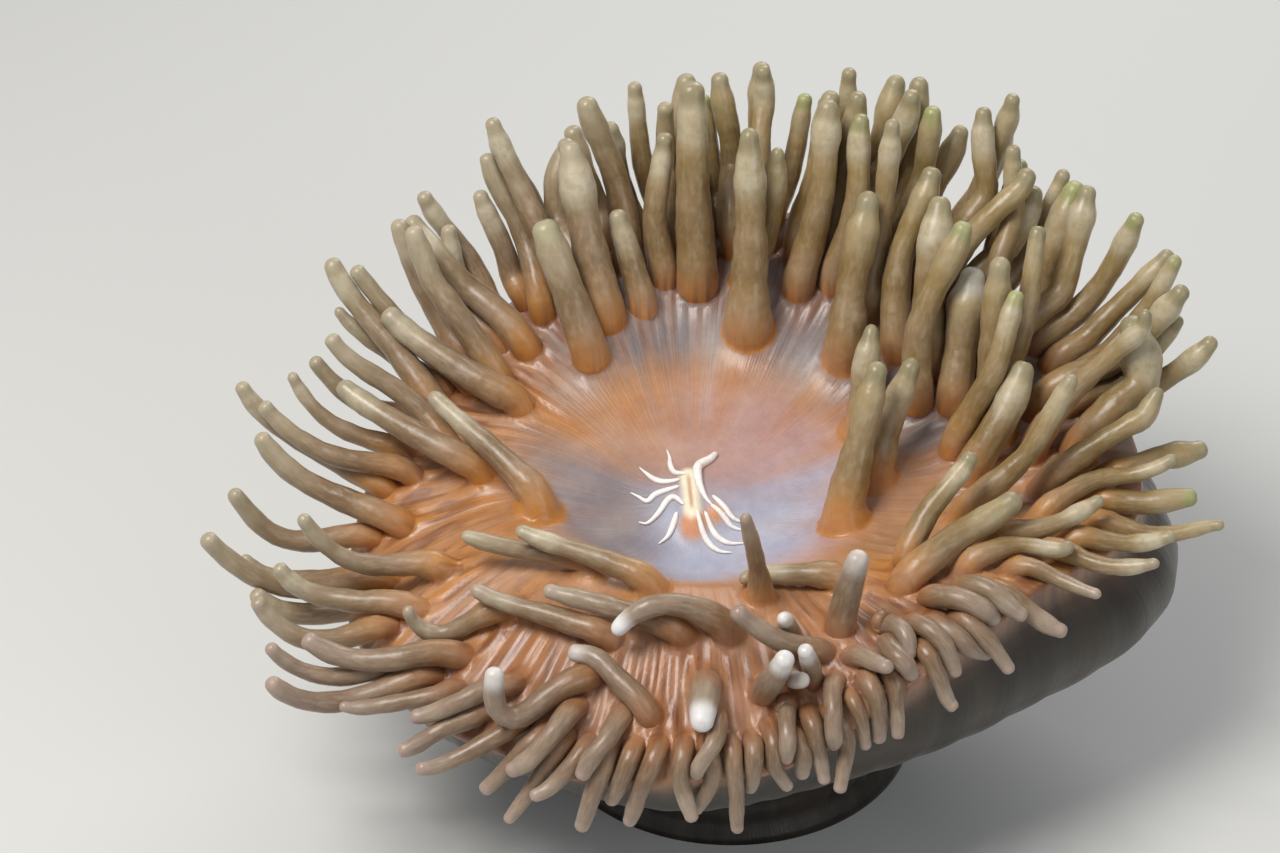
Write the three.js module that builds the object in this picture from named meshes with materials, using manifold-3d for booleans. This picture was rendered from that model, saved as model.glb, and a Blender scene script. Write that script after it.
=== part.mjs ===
// Bubble-tip sea anemone (Entacmaea quadricolor), long-tentacled form, as a life-size still model.
// Millimetres, +Z up. The origin is the middle of the foot, on the surface that the animal holds.
//
// The oral disc is a height field over the plan, in polar terms about the mouth: s runs from 0 at
// the mouth to 1 at the margin, and an angle runs counter-clockwise from +X. Six cycles of
// tentacles and a small cluster stand on it. A column hangs below the disc and narrows to the foot.
import * as THREE from 'three';
import { mergeVertices } from 'three/addons/utils/BufferGeometryUtils.js';
import Module from 'manifold-3d';

const wasm = await Module();
wasm.setup();

// ---------------------------------------------------------------- driving dimensions

const MOUTH = new THREE.Vector3(-8, 0, 58);

// The disc every thirty degrees round the mouth:
//   reach   distance from the mouth to the margin
//   rise    height of the margin above the mouth
//   crest   height of the disc half-way out
//   bare    share of the reach that no tentacle stands on
//   inner   where the innermost tentacles lean: azimuth, rise in degrees, length
//   outer   the same at the margin
//   girth   radius of the marginal tentacles
//   swell   how far the column's bag draws out past the margin
const COMPASS = [
  {
    reach: 87, rise: 4, crest: 2, bare: 0.39, inner: [50, 60, 36], outer: [3, 8, 30],
    girth: 1.9, swell: 44,
  },
  {
    reach: 79, rise: 19, crest: 5, bare: 0.50, inner: [60, 66, 40], outer: [34, 52, 42],
    girth: 2.2, swell: 32,
  },
  {
    reach: 71, rise: 24, crest: 9, bare: 0.58, inner: [60, 72, 40], outer: [50, 64, 39],
    girth: 2.3, swell: 16,
  },
  {
    reach: 68, rise: 22, crest: 10, bare: 0.62, inner: [95, 76, 40], outer: [92, 74, 38],
    girth: 2.2, swell: 4,
  },
  {
    reach: 62, rise: 17, crest: 9, bare: 0.62, inner: [125, 60, 38], outer: [132, 56, 34],
    girth: 2.0, swell: -2,
  },
  {
    reach: 63, rise: 2, crest: 5, bare: 0.55, inner: [150, 46, 40], outer: [157, 30, 35],
    girth: 1.9, swell: -6,
  },
  {
    reach: 67, rise: -12, crest: 1, bare: 0.46, inner: [168, 28, 42], outer: [178, -2, 37],
    girth: 1.8, swell: -6,
  },
  {
    reach: 69, rise: -15, crest: 1, bare: 0.45, inner: [176, 12, 38], outer: [186, -12, 35],
    girth: 1.7, swell: -6,
  },
  {
    reach: 67, rise: -14, crest: 2, bare: 0.47, inner: [178, 6, 34], outer: [205, -28, 24],
    girth: 1.45, swell: -6,
  },
  {
    reach: 66, rise: -15, crest: 3, bare: 0.53, inner: [178, 10, 30], outer: [262, -78, 18],
    girth: 1.3, swell: -6,
  },
  {
    reach: 66, rise: -5, crest: 2, bare: 0.56, inner: [185, 30, 26], outer: [305, -62, 16],
    girth: 1.35, swell: 4,
  },
  {
    reach: 72, rise: 5, crest: 1, bare: 0.42, inner: [30, 30, 28], outer: [335, -18, 22],
    girth: 1.6, swell: 26,
  },
];

// The bowl sinks a little from the mouth, then climbs to the crest. Its floor tilts up towards +Y.
const BOWL_DEPTH = 2;
const BOWL_TILT = 0.55;
const FLOOR_AT = 0.2;
const CREST_AT = 0.5;

// Six cycles of tentacles, from the inside out, and a small cluster of a few more. The most
// prominent ones have a pose of their own: angle and place on the disc, azimuth and rise of the
// lean in degrees, length, radius and curl.
// The rest of a cycle is spread evenly: how many, the first one's angle, the arc they cover, and
// how far out they stand, from 0 at the edge of the bare disc to 1 at the margin.
const POSES = {
  primary: [
    [346, 0.00, 62, 62, 34, 3.1, 0],
    [6, 0.03, 50, 58, 27, 2.9, 0.1],
    [26, 0.00, 80, 60, 23, 2.6, 0.1],
    [46, 0.15, 68, 66, 37, 3.2, 0],
    [73, 0.00, 90, 74, 45, 3.4, 0],
    [88, 0.32, 98, 76, 47, 3.2, 0],
    [103, 0.18, 128, 64, 23, 2.2, 0.1],
    [122, 0.00, 132, 60, 32, 3, 0],
    [188, 0.00, 142, 22, 34, 2.4, 0.1],
    [234, 0.04, 172, 2, 28, 2, 0.2],
    [257, 0.03, 162, 8, 30, 2.1, 0.15],
    [290, 0.00, 240, 72, 26, 1.7, 0],
  ],
  secondary: [
    [30, 0.43, 82, 64, 38, 2.9, 0],
    [11, 0.53, 88, 68, 38, 3.2, 0],
    [2, 0.40, 52, 48, 27, 2.7, 0.2],
    [321, 0.54, 30, 14, 30, 2.5, 0.3],
    [313, 0.24, 192, -30, 22, 2.2, 1.3],
    [278, 0.28, 188, 26, 28, 2.3, -1.2],
    [267, 0.32, 166, 4, 29, 2.1, 0.2],
    [250, 0.41, 160, 0, 30, 2.1, 0.3],
    [172, 0.31, 152, 12, 37, 2.3, 0.2],
    [146, 0.24, 156, 20, 36, 2.5, 0.15],
    [132, 0.51, 146, 32, 39, 2.4, 0.1],
    [113, 0.20, 118, 64, 40, 3.1, 0],
  ],
  tertiary: [
    [20, 0.43, 74, 60, 30, 2.8, 0.1],
    [4, 0.82, 70, 54, 35, 3.1, 0.1],
    [29, 0.84, 38, 54, 38, 3.2, 0],
    [249, 0.60, 206, -58, 32, 1.9, 2.2],
    [223, 0.47, 186, -45, 25, 1.9, 1.9],
    [222, 0.76, 182, -12, 33, 2, 0.9],
    [262, 0.76, 144, 10, 22, 1.9, 0.3],
    [283, 0.66, 305, 60, 17, 2, 0.3],
    [272, 0.60, 262, 4, 14, 2.2, 0.3],
  ],
  cluster: [
    [303, 0.48, 342, 80, 20, 2.2, 0],
    [293, 0.70, 245, 66, 14, 1.7, 0.2],
    [301, 0.70, 312, 24, 13, 1.6, 0.2],
    [290, 0.60, 285, 30, 12, 1.7, 0.2],
    [292, 0.40, 250, 58, 13, 1.9, 0.1],
  ],
};
const CYCLES = [
  { name: 'primary', count: 0, first: 0, arc: 360, out: 0, wander: 0 },
  { name: 'secondary', count: 0, first: 0, arc: 360, out: 0, wander: 0 },
  { name: 'tertiary', count: 14, first: 280, arc: 310, out: 0.42, wander: 0.08 },
  { name: 'quaternary', count: 38, first: 4, arc: 360, out: 0.68, wander: 0.04 },
  { name: 'marginal', count: 56, first: 0, arc: 360, out: 0.9, wander: 0.03 },
  { name: 'fringe', count: 14, first: 238, arc: 66, out: 0.76, wander: 0.03 },
  { name: 'cluster', count: 0, first: 0, arc: 360, out: 0, wander: 0 },
];
const INNER_GIRTH = 2.45;
const MARGIN_FROM = 0.45;
const MARGINAL_SHARE = 0.92;
const POSED_SWAY = 0.3;

// They stand closer together on one side.
const CROWDING = 0.42;
const CROWDED_AT = 45;

// Where the disc hangs down they stand farther out and leave an apron of bare disc.
const APRON = 0.14;
const APRON_AT = 245;

// How freely the tentacles vary.
const SEED = 7;
const LEAN_SPREAD = 0.2;
const LENGTH_SPREAD = 0.18;
const GIRTH_SPREAD = 0.10;
const SWAY = 0.26;

// Settling keeps the tentacles apart and off the disc.
const STEPS = 10;
const BASE_FLARE = 1.35;
const TIP_TAPER = 0.68;
const CLUB = 0.2;
const SLANT = 0.3;
const BEND_AT = 0.25;
const SEAT_ROOM = 1.25;
const SEAT_ROUNDS = 40;
const OUT_MOST = 0.9;
const SETTLE_ROUNDS = 120;
const CLEAR = 0.9;
const CLEAR_OF_BODY = 0.6;

// Column: a narrow stalk on a round foot, and a swollen bag under the disc, most on the +X side.
const FOOT_RADIUS = 38;
const FOOT_HEIGHT = 6;
const STALK_HEIGHT = 20;
const WAIST_PULL = 12;
const WAIST_AT = 0.4;
const BAG_AT = 0.42;

// Thickness of the disc, in the middle and at the margin.
const SHEET = 6;
const SHEET_AT_MARGIN = 3.5;

// Where the disc divides into pieces, and the narrow gap that parts them.
const MOUTH_EDGE = 0.2;
const CROWN_EDGE = 0.34;
const GAP = 0.3;
const ROOF_GAP = 1.1;
const STAND_GAP = 0.5;
const SECTORS = 12;
const SECTOR_RINGS = 5;
const SPOKES = 36;

// Facets of the tentacles: the length of a segment, and how deep a base is rooted.
const SEGMENT = 15;
const ROOT = 1.8;
const FRAMES = 40;

// Mouth: a slit between raised lips, with wavy ribs round it.
const SLIT_LENGTH = 7;
const SLIT_WIDTH = 1.6;
const SLIT_DEPTH = 3;
const SLIT_TURN = 100;
const RIBS = 11;
const RIB_START = 4.5;
const RIB_LENGTH = 7.5;
const RIB_GIRTH = 0.75;
const RIB_WAVE = 0.9;

const COLOURS = {
  foot: 0x6b5a3a,
  column: 0x5f5a38,
  disc: 0xc98a5e,
  mouth: 0xe8c8b4,
  crown: 0xb98654,
  tentacle: 0x9a8558,
  tip: 0xb9b08a,
};

// ---------------------------------------------------------------- the disc

const DEG = Math.PI / 180;
const TURN = 2 * Math.PI;
const UP = new THREE.Vector3(0, 0, 1);

// Smooth value at an angle, from one value every thirty degrees.
function around(values, angle) {
  const n = values.length;
  const place = (((angle / TURN) * n) % n + n) % n;
  const i = Math.floor(place) % n;
  const f = place - Math.floor(place);
  const p = [-1, 0, 1, 2].map((k) => values[(i + k + n) % n]);
  const curve = 3 * (p[1] - p[2]) + p[3] - p[0];
  const bend = 2 * p[0] - 5 * p[1] + 4 * p[2] - p[3];
  return p[1] + 0.5 * f * (p[2] - p[0] + f * (bend + f * curve));
}

const REACH = COMPASS.map((c) => c.reach);
const RISE = COMPASS.map((c) => c.rise);
const CREST = COMPASS.map((c) => c.crest);
const BARE = COMPASS.map((c) => c.bare);
const GIRTH = COMPASS.map((c) => c.girth);
const SWELL = COMPASS.map((c) => c.swell);

function hermite(t, from, to, slopeFrom, slopeTo) {
  const t2 = t * t;
  const t3 = t2 * t;
  return (2 * t3 - 3 * t2 + 1) * from + (t3 - 2 * t2 + t) * slopeFrom
    + (3 * t2 - 2 * t3) * to + (t3 - t2) * slopeTo;
}

// Height of the disc above the mouth.
function discHeight(s, angle) {
  const crest = around(CREST, angle);
  const margin = around(RISE, angle);
  const climb = (crest + BOWL_DEPTH) / (CREST_AT - FLOOR_AT);
  const fall = (margin - crest) / (1 - CREST_AT);
  const crestSlope = fall > 0 ? 0.55 * fall + 0.45 * climb : 0.2 * climb;
  const marginSlope = fall * (fall > 0 ? 0.35 : 1.5);
  const ripple = s ** 3 * (1.3 * Math.sin(7 * angle + 0.6) + 0.9 * Math.sin(11 * angle));
  const fade = (1 - Math.min(s / CREST_AT, 1) ** 2) ** 2;
  const extra = ripple + BOWL_TILT * fade * s * around(REACH, angle) * Math.sin(angle);
  if (s < FLOOR_AT) {
    return hermite(s / FLOOR_AT, 0, -BOWL_DEPTH, 0, 0) + extra;
  }
  if (s < CREST_AT) {
    const run = CREST_AT - FLOOR_AT;
    return hermite((s - FLOOR_AT) / run, -BOWL_DEPTH, crest, 0, crestSlope * run) + extra;
  }
  const run = 1 - CREST_AT;
  return hermite((s - CREST_AT) / run, crest, margin, crestSlope * run, marginSlope * run) + extra;
}

function discPoint(s, angle, drop = 0) {
  const r = s * around(REACH, angle);
  const z = MOUTH.z + discHeight(s, angle) - drop;
  return new THREE.Vector3(MOUTH.x + r * Math.cos(angle), MOUTH.y + r * Math.sin(angle), z);
}

function discNormal(s, angle) {
  const e = 1e-3;
  const outward = discPoint(s + e, angle).sub(discPoint(s - e, angle));
  const round = discPoint(s, angle + e).sub(discPoint(s, angle - e));
  return outward.cross(round).normalize();
}

function sheetAt(s) {
  return SHEET - (SHEET - SHEET_AT_MARGIN) * s * s;
}

// ---------------------------------------------------------------- the column

// Distance from the mouth's axis to the foot's round edge.
function footReach(angle) {
  const toward = MOUTH.x * Math.cos(angle) + MOUTH.y * Math.sin(angle);
  const offset = MOUTH.x * MOUTH.x + MOUTH.y * MOUTH.y;
  return Math.sqrt(toward * toward - offset + FOOT_RADIUS * FOOT_RADIUS) - toward;
}

function bezier(t, a, b, c, d) {
  const u = 1 - t;
  return u * u * u * a + 3 * u * u * t * b + 3 * u * t * t * c + t * t * t * d;
}

// Distance from the mouth's axis to the column's side at a height.
function columnReach(z, angle) {
  const reach = around(REACH, angle);
  const top = MOUTH.z + around(RISE, angle) - SHEET_AT_MARGIN;
  let low = 0;
  let high = 1;
  for (let halving = 0; halving < 20; halving += 1) {
    const middle = (low + high) / 2;
    if (bezier(middle, 0, WAIST_AT * top, BAG_AT * top, top) < z) {
      low = middle;
    } else {
      high = middle;
    }
  }
  const foot = footReach(angle);
  return bezier(low, foot, foot - WAIST_PULL, reach + around(SWELL, angle), reach);
}

// The way out of the body at a point beside it, and how far out the point is.
function outOfBody(point) {
  const dx = point.x - MOUTH.x;
  const dy = point.y - MOUTH.y;
  const angle = Math.atan2(dy, dx);
  const r = Math.hypot(dx, dy);
  const s = r / around(REACH, angle);
  if (s < 1) {
    const held = Math.max(s, 0.02);
    const normal = discNormal(held, angle);
    return { normal, above: (point.z - MOUTH.z - discHeight(held, angle)) * normal.z };
  }
  const normal = new THREE.Vector3(dx / r, dy / r, 0);
  return { normal, above: r - columnReach(point.z, angle) };
}

// ---------------------------------------------------------------- growth of the tentacles

// Small seeded generator of even numbers between -1 and 1.
function makeDraw(seed) {
  let state = seed >>> 0;
  return () => {
    state = (state + 0x6d2b79f5) >>> 0;
    let t = state;
    t = Math.imul(t ^ (t >>> 15), t | 1);
    t ^= t + Math.imul(t ^ (t >>> 7), t | 61);
    return ((t ^ (t >>> 14)) >>> 0) / 2147483648 - 1;
  };
}

function heading(azimuth, rise) {
  const level = Math.cos(rise * DEG);
  const x = level * Math.cos(azimuth * DEG);
  const y = level * Math.sin(azimuth * DEG);
  return new THREE.Vector3(x, y, Math.sin(rise * DEG));
}

// The lean and length at a place on the disc, blended from the inner ones to the margin's.
function leanAt(out, angle) {
  const share = THREE.MathUtils.smoothstep(out, MARGIN_FROM, OUT_MOST);
  const blend = (pick) => {
    const inner = around(COMPASS.map((c) => pick(c.inner)), angle);
    const outer = around(COMPASS.map((c) => pick(c.outer)), angle);
    return (1 - share) * inner + share * outer;
  };
  const x = blend((lean) => heading(lean[0], lean[1]).x);
  const y = blend((lean) => heading(lean[0], lean[1]).y);
  const z = blend((lean) => heading(lean[0], lean[1]).z);
  return { direction: new THREE.Vector3(x, y, z).normalize(), length: blend((lean) => lean[2]) };
}

// Tips curl up most where the crown hangs low on the -X side.
function curlOf(direction, angle, chance) {
  const low = Math.max(0, -direction.x) * Math.max(0, 1 - 1.2 * Math.abs(direction.z));
  const strength = direction.y > -0.5 && angle < 3.9 ? 1.2 : 0.3;
  return 0.25 + strength * low + 0.25 * chance;
}

function posedTentacle(cycle, pose, number, chance) {
  const [angle, out, azimuth, rise, length, girth, curl] = pose;
  return {
    cycle,
    number,
    angle: angle * DEG,
    out,
    direction: heading(azimuth, rise),
    length,
    girth,
    curl,
    sway: swayOf(chance).multiplyScalar(POSED_SWAY),
    held: true,
  };
}

function spreadTentacle(cycle, number, chance) {
  const even = (cycle.first + (cycle.arc / cycle.count) * (number + 0.1 * chance[0])) * DEG;
  const angle = (even - CROWDING * Math.sin(even - CROWDED_AT * DEG) + TURN) % TURN;
  const apron = APRON * Math.max(Math.cos(angle - APRON_AT * DEG), 0);
  const out = Math.min(Math.max(cycle.out + apron + cycle.wander * chance[1], 0), OUT_MOST);
  const lean = leanAt(out, angle);
  const nudge = new THREE.Vector3(chance[2], chance[3], chance[4]).multiplyScalar(LEAN_SPREAD);
  const direction = lean.direction.add(nudge).normalize();
  const share = cycle.name === 'marginal' ? MARGINAL_SHARE : 1;
  const radius = INNER_GIRTH * (1 - out) + around(GIRTH, angle) * out;
  return {
    cycle,
    number,
    angle,
    out,
    direction,
    length: lean.length * (1 + LENGTH_SPREAD * chance[5]) * share,
    girth: radius * (1 + GIRTH_SPREAD * chance[6]),
    curl: curlOf(direction, angle, chance[7]),
    sway: swayOf(chance),
    held: false,
  };
}

function swayOf(chance) {
  return new THREE.Vector3(chance[8], chance[9], 0.5 * chance[3]).multiplyScalar(SWAY);
}

function sprout() {
  const draw = makeDraw(SEED);
  const draws = () => Array.from({ length: 10 }, draw);
  return CYCLES.flatMap((cycle) => {
    const posed = POSES[cycle.name] ?? [];
    const spread = Array.from({ length: cycle.count }, (_, number) => number);
    return [
      ...posed.map((pose, number) => posedTentacle(cycle, pose, number, draws())),
      ...spread.map((number) => spreadTentacle(cycle, number, draws())),
    ];
  });
}

// Moves the bases apart over the plan until neighbours have room. The posed ones hold their place.
function seat(tentacles) {
  for (let round = 0; round <= SEAT_ROUNDS; round += 1) {
    tentacles.forEach((t) => {
      const bare = around(BARE, t.angle);
      t.s = bare + (1 - bare) * t.out;
      t.base = discPoint(t.s, t.angle);
    });
    if (round === SEAT_ROUNDS) {
      return;
    }
    tentacles.forEach((t) => {
      const push = new THREE.Vector2();
      tentacles.forEach((other) => {
        const away = new THREE.Vector2(t.base.x - other.base.x, t.base.y - other.base.y);
        const need = SEAT_ROOM * (t.girth + other.girth) + CLEAR - away.length();
        if (other !== t && !t.held && need > 0) {
          push.addScaledVector(away.normalize(), (other.held ? 0.7 : 0.35) * need);
        }
      });
      t.seat = push.add(new THREE.Vector2(t.base.x - MOUTH.x, t.base.y - MOUTH.y));
    });
    tentacles.forEach((t) => {
      t.angle = (t.seat.angle() + TURN) % TURN;
      const bare = around(BARE, t.angle);
      const out = (t.seat.length() / around(REACH, t.angle) - bare) / (1 - bare);
      t.out = Math.min(Math.max(out, 0), OUT_MOST);
    });
  }
}

// A tentacle leaves the disc at a slant, bends to its lean, sways once and curls up at the tip.
function restPath(t) {
  const path = [t.base.clone()];
  const normal = discNormal(t.s, t.angle);
  for (let k = 0; k < STEPS; k += 1) {
    const along = (k + 0.5) / STEPS;
    const reach = Math.min(along / BEND_AT, 1);
    const bend = SLANT + (1 - SLANT) * reach * reach * (3 - 2 * reach);
    const way = normal.clone().multiplyScalar(1 - bend)
      .addScaledVector(t.direction, bend)
      .addScaledVector(UP, 1.6 * t.curl * along ** 3)
      .addScaledVector(t.sway, Math.sin(TURN * along))
      .normalize();
    path.push(path[k].clone().addScaledVector(way, t.length / STEPS));
  }
  return path;
}

// Tentacles taper, least on the crowded side, where their ends swell.
function clubOf(angle) {
  return CLUB * Math.max(0, Math.cos(angle - CROWDED_AT * DEG));
}

function radiusAt(t, along) {
  return t.girth * (BASE_FLARE - (BASE_FLARE - TIP_TAPER - clubOf(t.angle)) * along);
}

// Pairs of points of different tentacles that may come to touch.
function nearPairs(points) {
  const pairs = [];
  for (let i = 0; i < points.length; i += 1) {
    for (let j = i + 1; j < points.length; j += 1) {
      const a = points[i];
      const b = points[j];
      if (a.owner !== b.owner && (a.free || b.free)) {
        const reach = a.radius + b.radius + CLEAR + 4;
        if (a.place.distanceToSquared(b.place) < reach * reach) {
          pairs.push([a, b]);
        }
      }
    }
  }
  return pairs;
}

function pushApart(pairs) {
  for (const [a, b] of pairs) {
    const away = new THREE.Vector3().subVectors(a.place, b.place);
    const distance = away.length();
    const need = a.radius + b.radius + CLEAR - distance;
    if (need > 0) {
      away.multiplyScalar((0.6 * need) / distance / ((a.free ? 1 : 0) + (b.free ? 1 : 0)));
      a.push.addScaledVector(away, a.free ? 1 : 0);
      b.push.addScaledVector(away, b.free ? -1 : 0);
    }
  }
}

// Eases each tentacle off its neighbours and off the disc, at its own length.
function settle(tentacles) {
  const points = [];
  tentacles.forEach((t) => {
    t.points = restPath(t).map((rest, k) => ({
      owner: t,
      rest,
      place: rest.clone(),
      push: new THREE.Vector3(),
      radius: radiusAt(t, k / STEPS),
      free: k > 1,
    }));
    points.push(...t.points);
  });
  let pairs = [];
  for (let round = 0; round < SETTLE_ROUNDS; round += 1) {
    if (round % 15 === 0) {
      pairs = nearPairs(points);
    }
    points.forEach((p) => p.push.set(0, 0, 0));
    pushApart(pairs);
    tentacles.forEach((t) => {
      const off = t.points.map((p) => p.place.clone().add(p.push).sub(p.rest));
      t.points.forEach((p, k) => {
        if (p.free) {
          const smooth = off[k].clone();
          if (k < STEPS) {
            smooth.multiplyScalar(0.5).addScaledVector(off[k - 1], 0.25).addScaledVector(off[k + 1], 0.25);
          }
          p.place.copy(p.rest).addScaledVector(smooth, 0.997);
          const { normal, above } = outOfBody(p.place);
          const lack = Math.max(p.radius + CLEAR_OF_BODY - above, 0);
          p.place.addScaledVector(normal, 0.7 * lack);
        }
      });
      for (let k = 2; k <= STEPS; k += 1) {
        const before = t.points[k - 1].place;
        const way = t.points[k].place.clone().sub(before).normalize();
        t.points[k].place.copy(before).addScaledVector(way, t.length / STEPS);
      }
    });
  }
  tentacles.forEach((t) => {
    t.path = new THREE.CatmullRomCurve3(t.points.map((p) => p.place));
  });
}

// ---------------------------------------------------------------- solids

// A closed geometry with each vertex moved by a rule, its own corners merged.
function mould(geometry, rule) {
  geometry.deleteAttribute('normal');
  geometry.deleteAttribute('uv');
  const place = geometry.getAttribute('position');
  for (let i = 0; i < place.count; i += 1) {
    const moved = rule(new THREE.Vector3().fromBufferAttribute(place, i));
    place.setXYZ(i, moved.x, moved.y, moved.z);
  }
  return mergeVertices(geometry, 1e-4);
}

function toSolid(geometry) {
  const index = Array.from(geometry.index.array);
  const kept = [];
  for (let i = 0; i < index.length; i += 3) {
    const [a, b, c] = index.slice(i, i + 3);
    if (a !== b && b !== c && c !== a) {
      kept.push(a, b, c);
    }
  }
  return new wasm.Manifold(new wasm.Mesh({
    numProp: 3,
    vertProperties: Float32Array.from(geometry.getAttribute('position').array),
    triVerts: Uint32Array.from(kept),
  }));
}

function toGeometry(solid) {
  const mesh = solid.getMesh();
  const geometry = new THREE.BufferGeometry();
  geometry.setAttribute('position', new THREE.BufferAttribute(mesh.vertProperties, 3));
  geometry.setIndex(new THREE.BufferAttribute(mesh.triVerts, 1));
  return geometry;
}

// The tentacle's outline from one end to the other, as radii along its length, bent to its path.
function tentacleSolid(t, from, to, sides) {
  const span = (to - from) * t.length;
  const segments = Math.min(Math.max(Math.round(span / SEGMENT), 2), 5);
  const profile = [new THREE.Vector2(0, from)];
  for (let k = 0; k < segments; k += 1) {
    const along = from + ((to - from) * k) / segments;
    profile.push(new THREE.Vector2(radiusAt(t, along), along));
  }
  const last = to === 1 ? 1 - (0.8 * t.girth) / t.length : to;
  profile.push(new THREE.Vector2((to === 1 ? 0.85 : 1) * radiusAt(t, last), last));
  profile.push(new THREE.Vector2(0, to));
  const frames = t.path.computeFrenetFrames(FRAMES, false);
  return toSolid(mould(new THREE.LatheGeometry(profile, sides), (v) => {
    const held = Math.max(v.y, 0);
    const k = Math.round(held * FRAMES);
    return t.path.getPointAt(held)
      .addScaledVector(frames.tangents[k], (v.y - held) * t.length)
      .addScaledVector(frames.normals[k], v.x)
      .addScaledVector(frames.binormals[k], -v.z);
  }));
}

// A place on a turned shape, as how far out it is, its level and its angle.
function unturn(v) {
  return { share: Math.hypot(v.x, v.z), level: v.y, angle: Math.atan2(-v.z, v.x) };
}

function turned(profile, rule, spokes = SPOKES) {
  const lathe = new THREE.LatheGeometry(profile.map(([x, y]) => new THREE.Vector2(x, y)), spokes);
  return toSolid(mould(lathe, (v) => rule(unturn(v))));
}

// A piece of the disc between two rings of the sheet, over one sector of the crown.
function sectorSolid(number, grow = 0) {
  const middle = number * (TURN / SECTORS);
  const box = new THREE.BoxGeometry(1, 1, 1, SECTOR_RINGS, SPOKES / SECTORS, 1);
  return toSolid(mould(box, (v) => {
    const s = CROWN_EDGE + (1 - CROWN_EDGE) * (v.x + 0.5);
    const parting = (GAP - 4 * grow) / (s * around(REACH, middle));
    const angle = middle + v.y * (TURN / SECTORS - parting);
    return discPoint(s, angle, v.z > 0 ? -grow : sheetAt(s) + grow);
  }));
}

// The rings of the sheet's facets, from the margin in to the mouth.
const RING_SHARES = Array.from({ length: SECTOR_RINGS + 1 }, (_, k) => (
  1 - ((1 - CROWN_EDGE) * k) / SECTOR_RINGS
)).concat(MOUTH_EDGE);

// Everything from just above the disc down through it, to trim what stands on it.
function discKeepout() {
  const top = RING_SHARES.map((s) => [s, 1]);
  const bottom = RING_SHARES.map((s) => [s, 0]).reverse();
  return turned([[0, 0], ...bottom, ...top, [0, 1]], ({ share, level, angle }) => (
    discPoint(share, angle, level === 1 ? -STAND_GAP : SHEET)
  ));
}

function oralDiscSolid() {
  const near = MOUTH_EDGE + 0.01;
  const far = CROWN_EDGE - 0.01;
  const profile = [[near, 0], [far, 0], [far, 1], [near, 1], [near, 0]];
  return turned(profile, ({ share, level, angle }) => (
    discPoint(share, angle, level === 1 ? 0 : sheetAt(share))
  ));
}

// The part of the column between two heights, with flat ends.
function columnSolid(from, to, steps) {
  const side = Array.from({ length: steps + 1 }, (_, k) => [1, k / steps]);
  return turned([[0, 0], ...side, [0, 1]], ({ share, level, angle }) => {
    const z = from + (to - from) * level;
    const r = share * columnReach(z, angle);
    return new THREE.Vector3(MOUTH.x + r * Math.cos(angle), MOUTH.y + r * Math.sin(angle), z);
  });
}

// The bag: from the stalk up to the underside of the disc.
function bagSolid() {
  const from = STALK_HEIGHT + GAP;
  const side = [[1, 0], [1, 0.25], [1, 0.5], [1, 0.75]];
  const top = RING_SHARES.map((s) => [s, 1]);
  return turned([[0, 0], ...side, ...top, [0, 1]], ({ share, level, angle }) => {
    const roof = discPoint(share, angle, sheetAt(share) + ROOF_GAP);
    if (level === 1) {
      return roof;
    }
    const z = from + (discPoint(1, angle, sheetAt(1)).z - from) * level;
    const r = share * columnReach(z, angle);
    return new THREE.Vector3(MOUTH.x + r * Math.cos(angle), MOUTH.y + r * Math.sin(angle), z);
  });
}

// The mouth: a low cone with a slit between two lips.
function mouthSolid() {
  const profile = [[0, 0], [1, 0], [1, 5], [0.7, 4], [0.45, 3], [0.28, 2], [0, 1]];
  const plate = turned(profile, ({ share, level, angle }) => (
    level === 0 ? discPoint(MOUTH_EDGE * share, angle, SHEET) : lipPoint(share, level, angle)
  ), SPOKES / 2);
  return ribSolids().reduce((body, rib) => body.add(rib), plate);
}

function lipPoint(share, level, angle) {
  const lift = [0, -SLIT_DEPTH, -0.4, 1.3, 0.5, 0][level];
  const point = discPoint(MOUTH_EDGE * share, angle, -lift);
  if (level > 2) {
    return point;
  }
  const along = (SLIT_LENGTH / 2) * Math.cos(angle);
  const across = (SLIT_WIDTH / 2) * Math.sin(angle);
  const turn = new THREE.Vector2(along, across).rotateAround(new THREE.Vector2(), SLIT_TURN * DEG);
  const open = level === 1 ? 0 : 1;
  return new THREE.Vector3(MOUTH.x + open * turn.x, MOUTH.y + open * turn.y, point.z);
}

// Wavy ribs that lie on the disc round the mouth, like spokes.
function ribSolids() {
  return Array.from({ length: RIBS }, (_, number) => {
    const angle = ((number + 0.5) / RIBS) * TURN;
    const points = [0, 1, 2, 3, 4].map((k) => {
      const r = RIB_START + (RIB_LENGTH * k) / 4;
      const bent = angle + (RIB_WAVE * Math.sin(k * 1.9)) / r;
      return discPoint(r / around(REACH, bent), bent, -0.2);
    });
    const rib = {
      angle,
      length: RIB_LENGTH,
      girth: RIB_GIRTH,
      path: new THREE.CatmullRomCurve3(points),
    };
    return tentacleSolid(rib, 0, 1, 4);
  });
}

// ---------------------------------------------------------------- assembly

const anemone = new THREE.Group();

function addPiece(name, colour, solid) {
  const material = new THREE.MeshStandardMaterial({ color: colour, roughness: 0.45, metalness: 0 });
  const mesh = new THREE.Mesh(toGeometry(solid), material);
  mesh.name = name;
  anemone.add(mesh);
}

const tentacles = sprout();
seat(tentacles);
settle(tentacles);

addPiece('foot', COLOURS.foot, columnSolid(0, FOOT_HEIGHT, 2));
addPiece('column_stalk', COLOURS.column, columnSolid(FOOT_HEIGHT + GAP, STALK_HEIGHT, 2));
addPiece('column_bag', COLOURS.column, bagSolid());
addPiece('oral_disc', COLOURS.disc, oralDiscSolid());
addPiece('mouth', COLOURS.mouth, mouthSolid());

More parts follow.
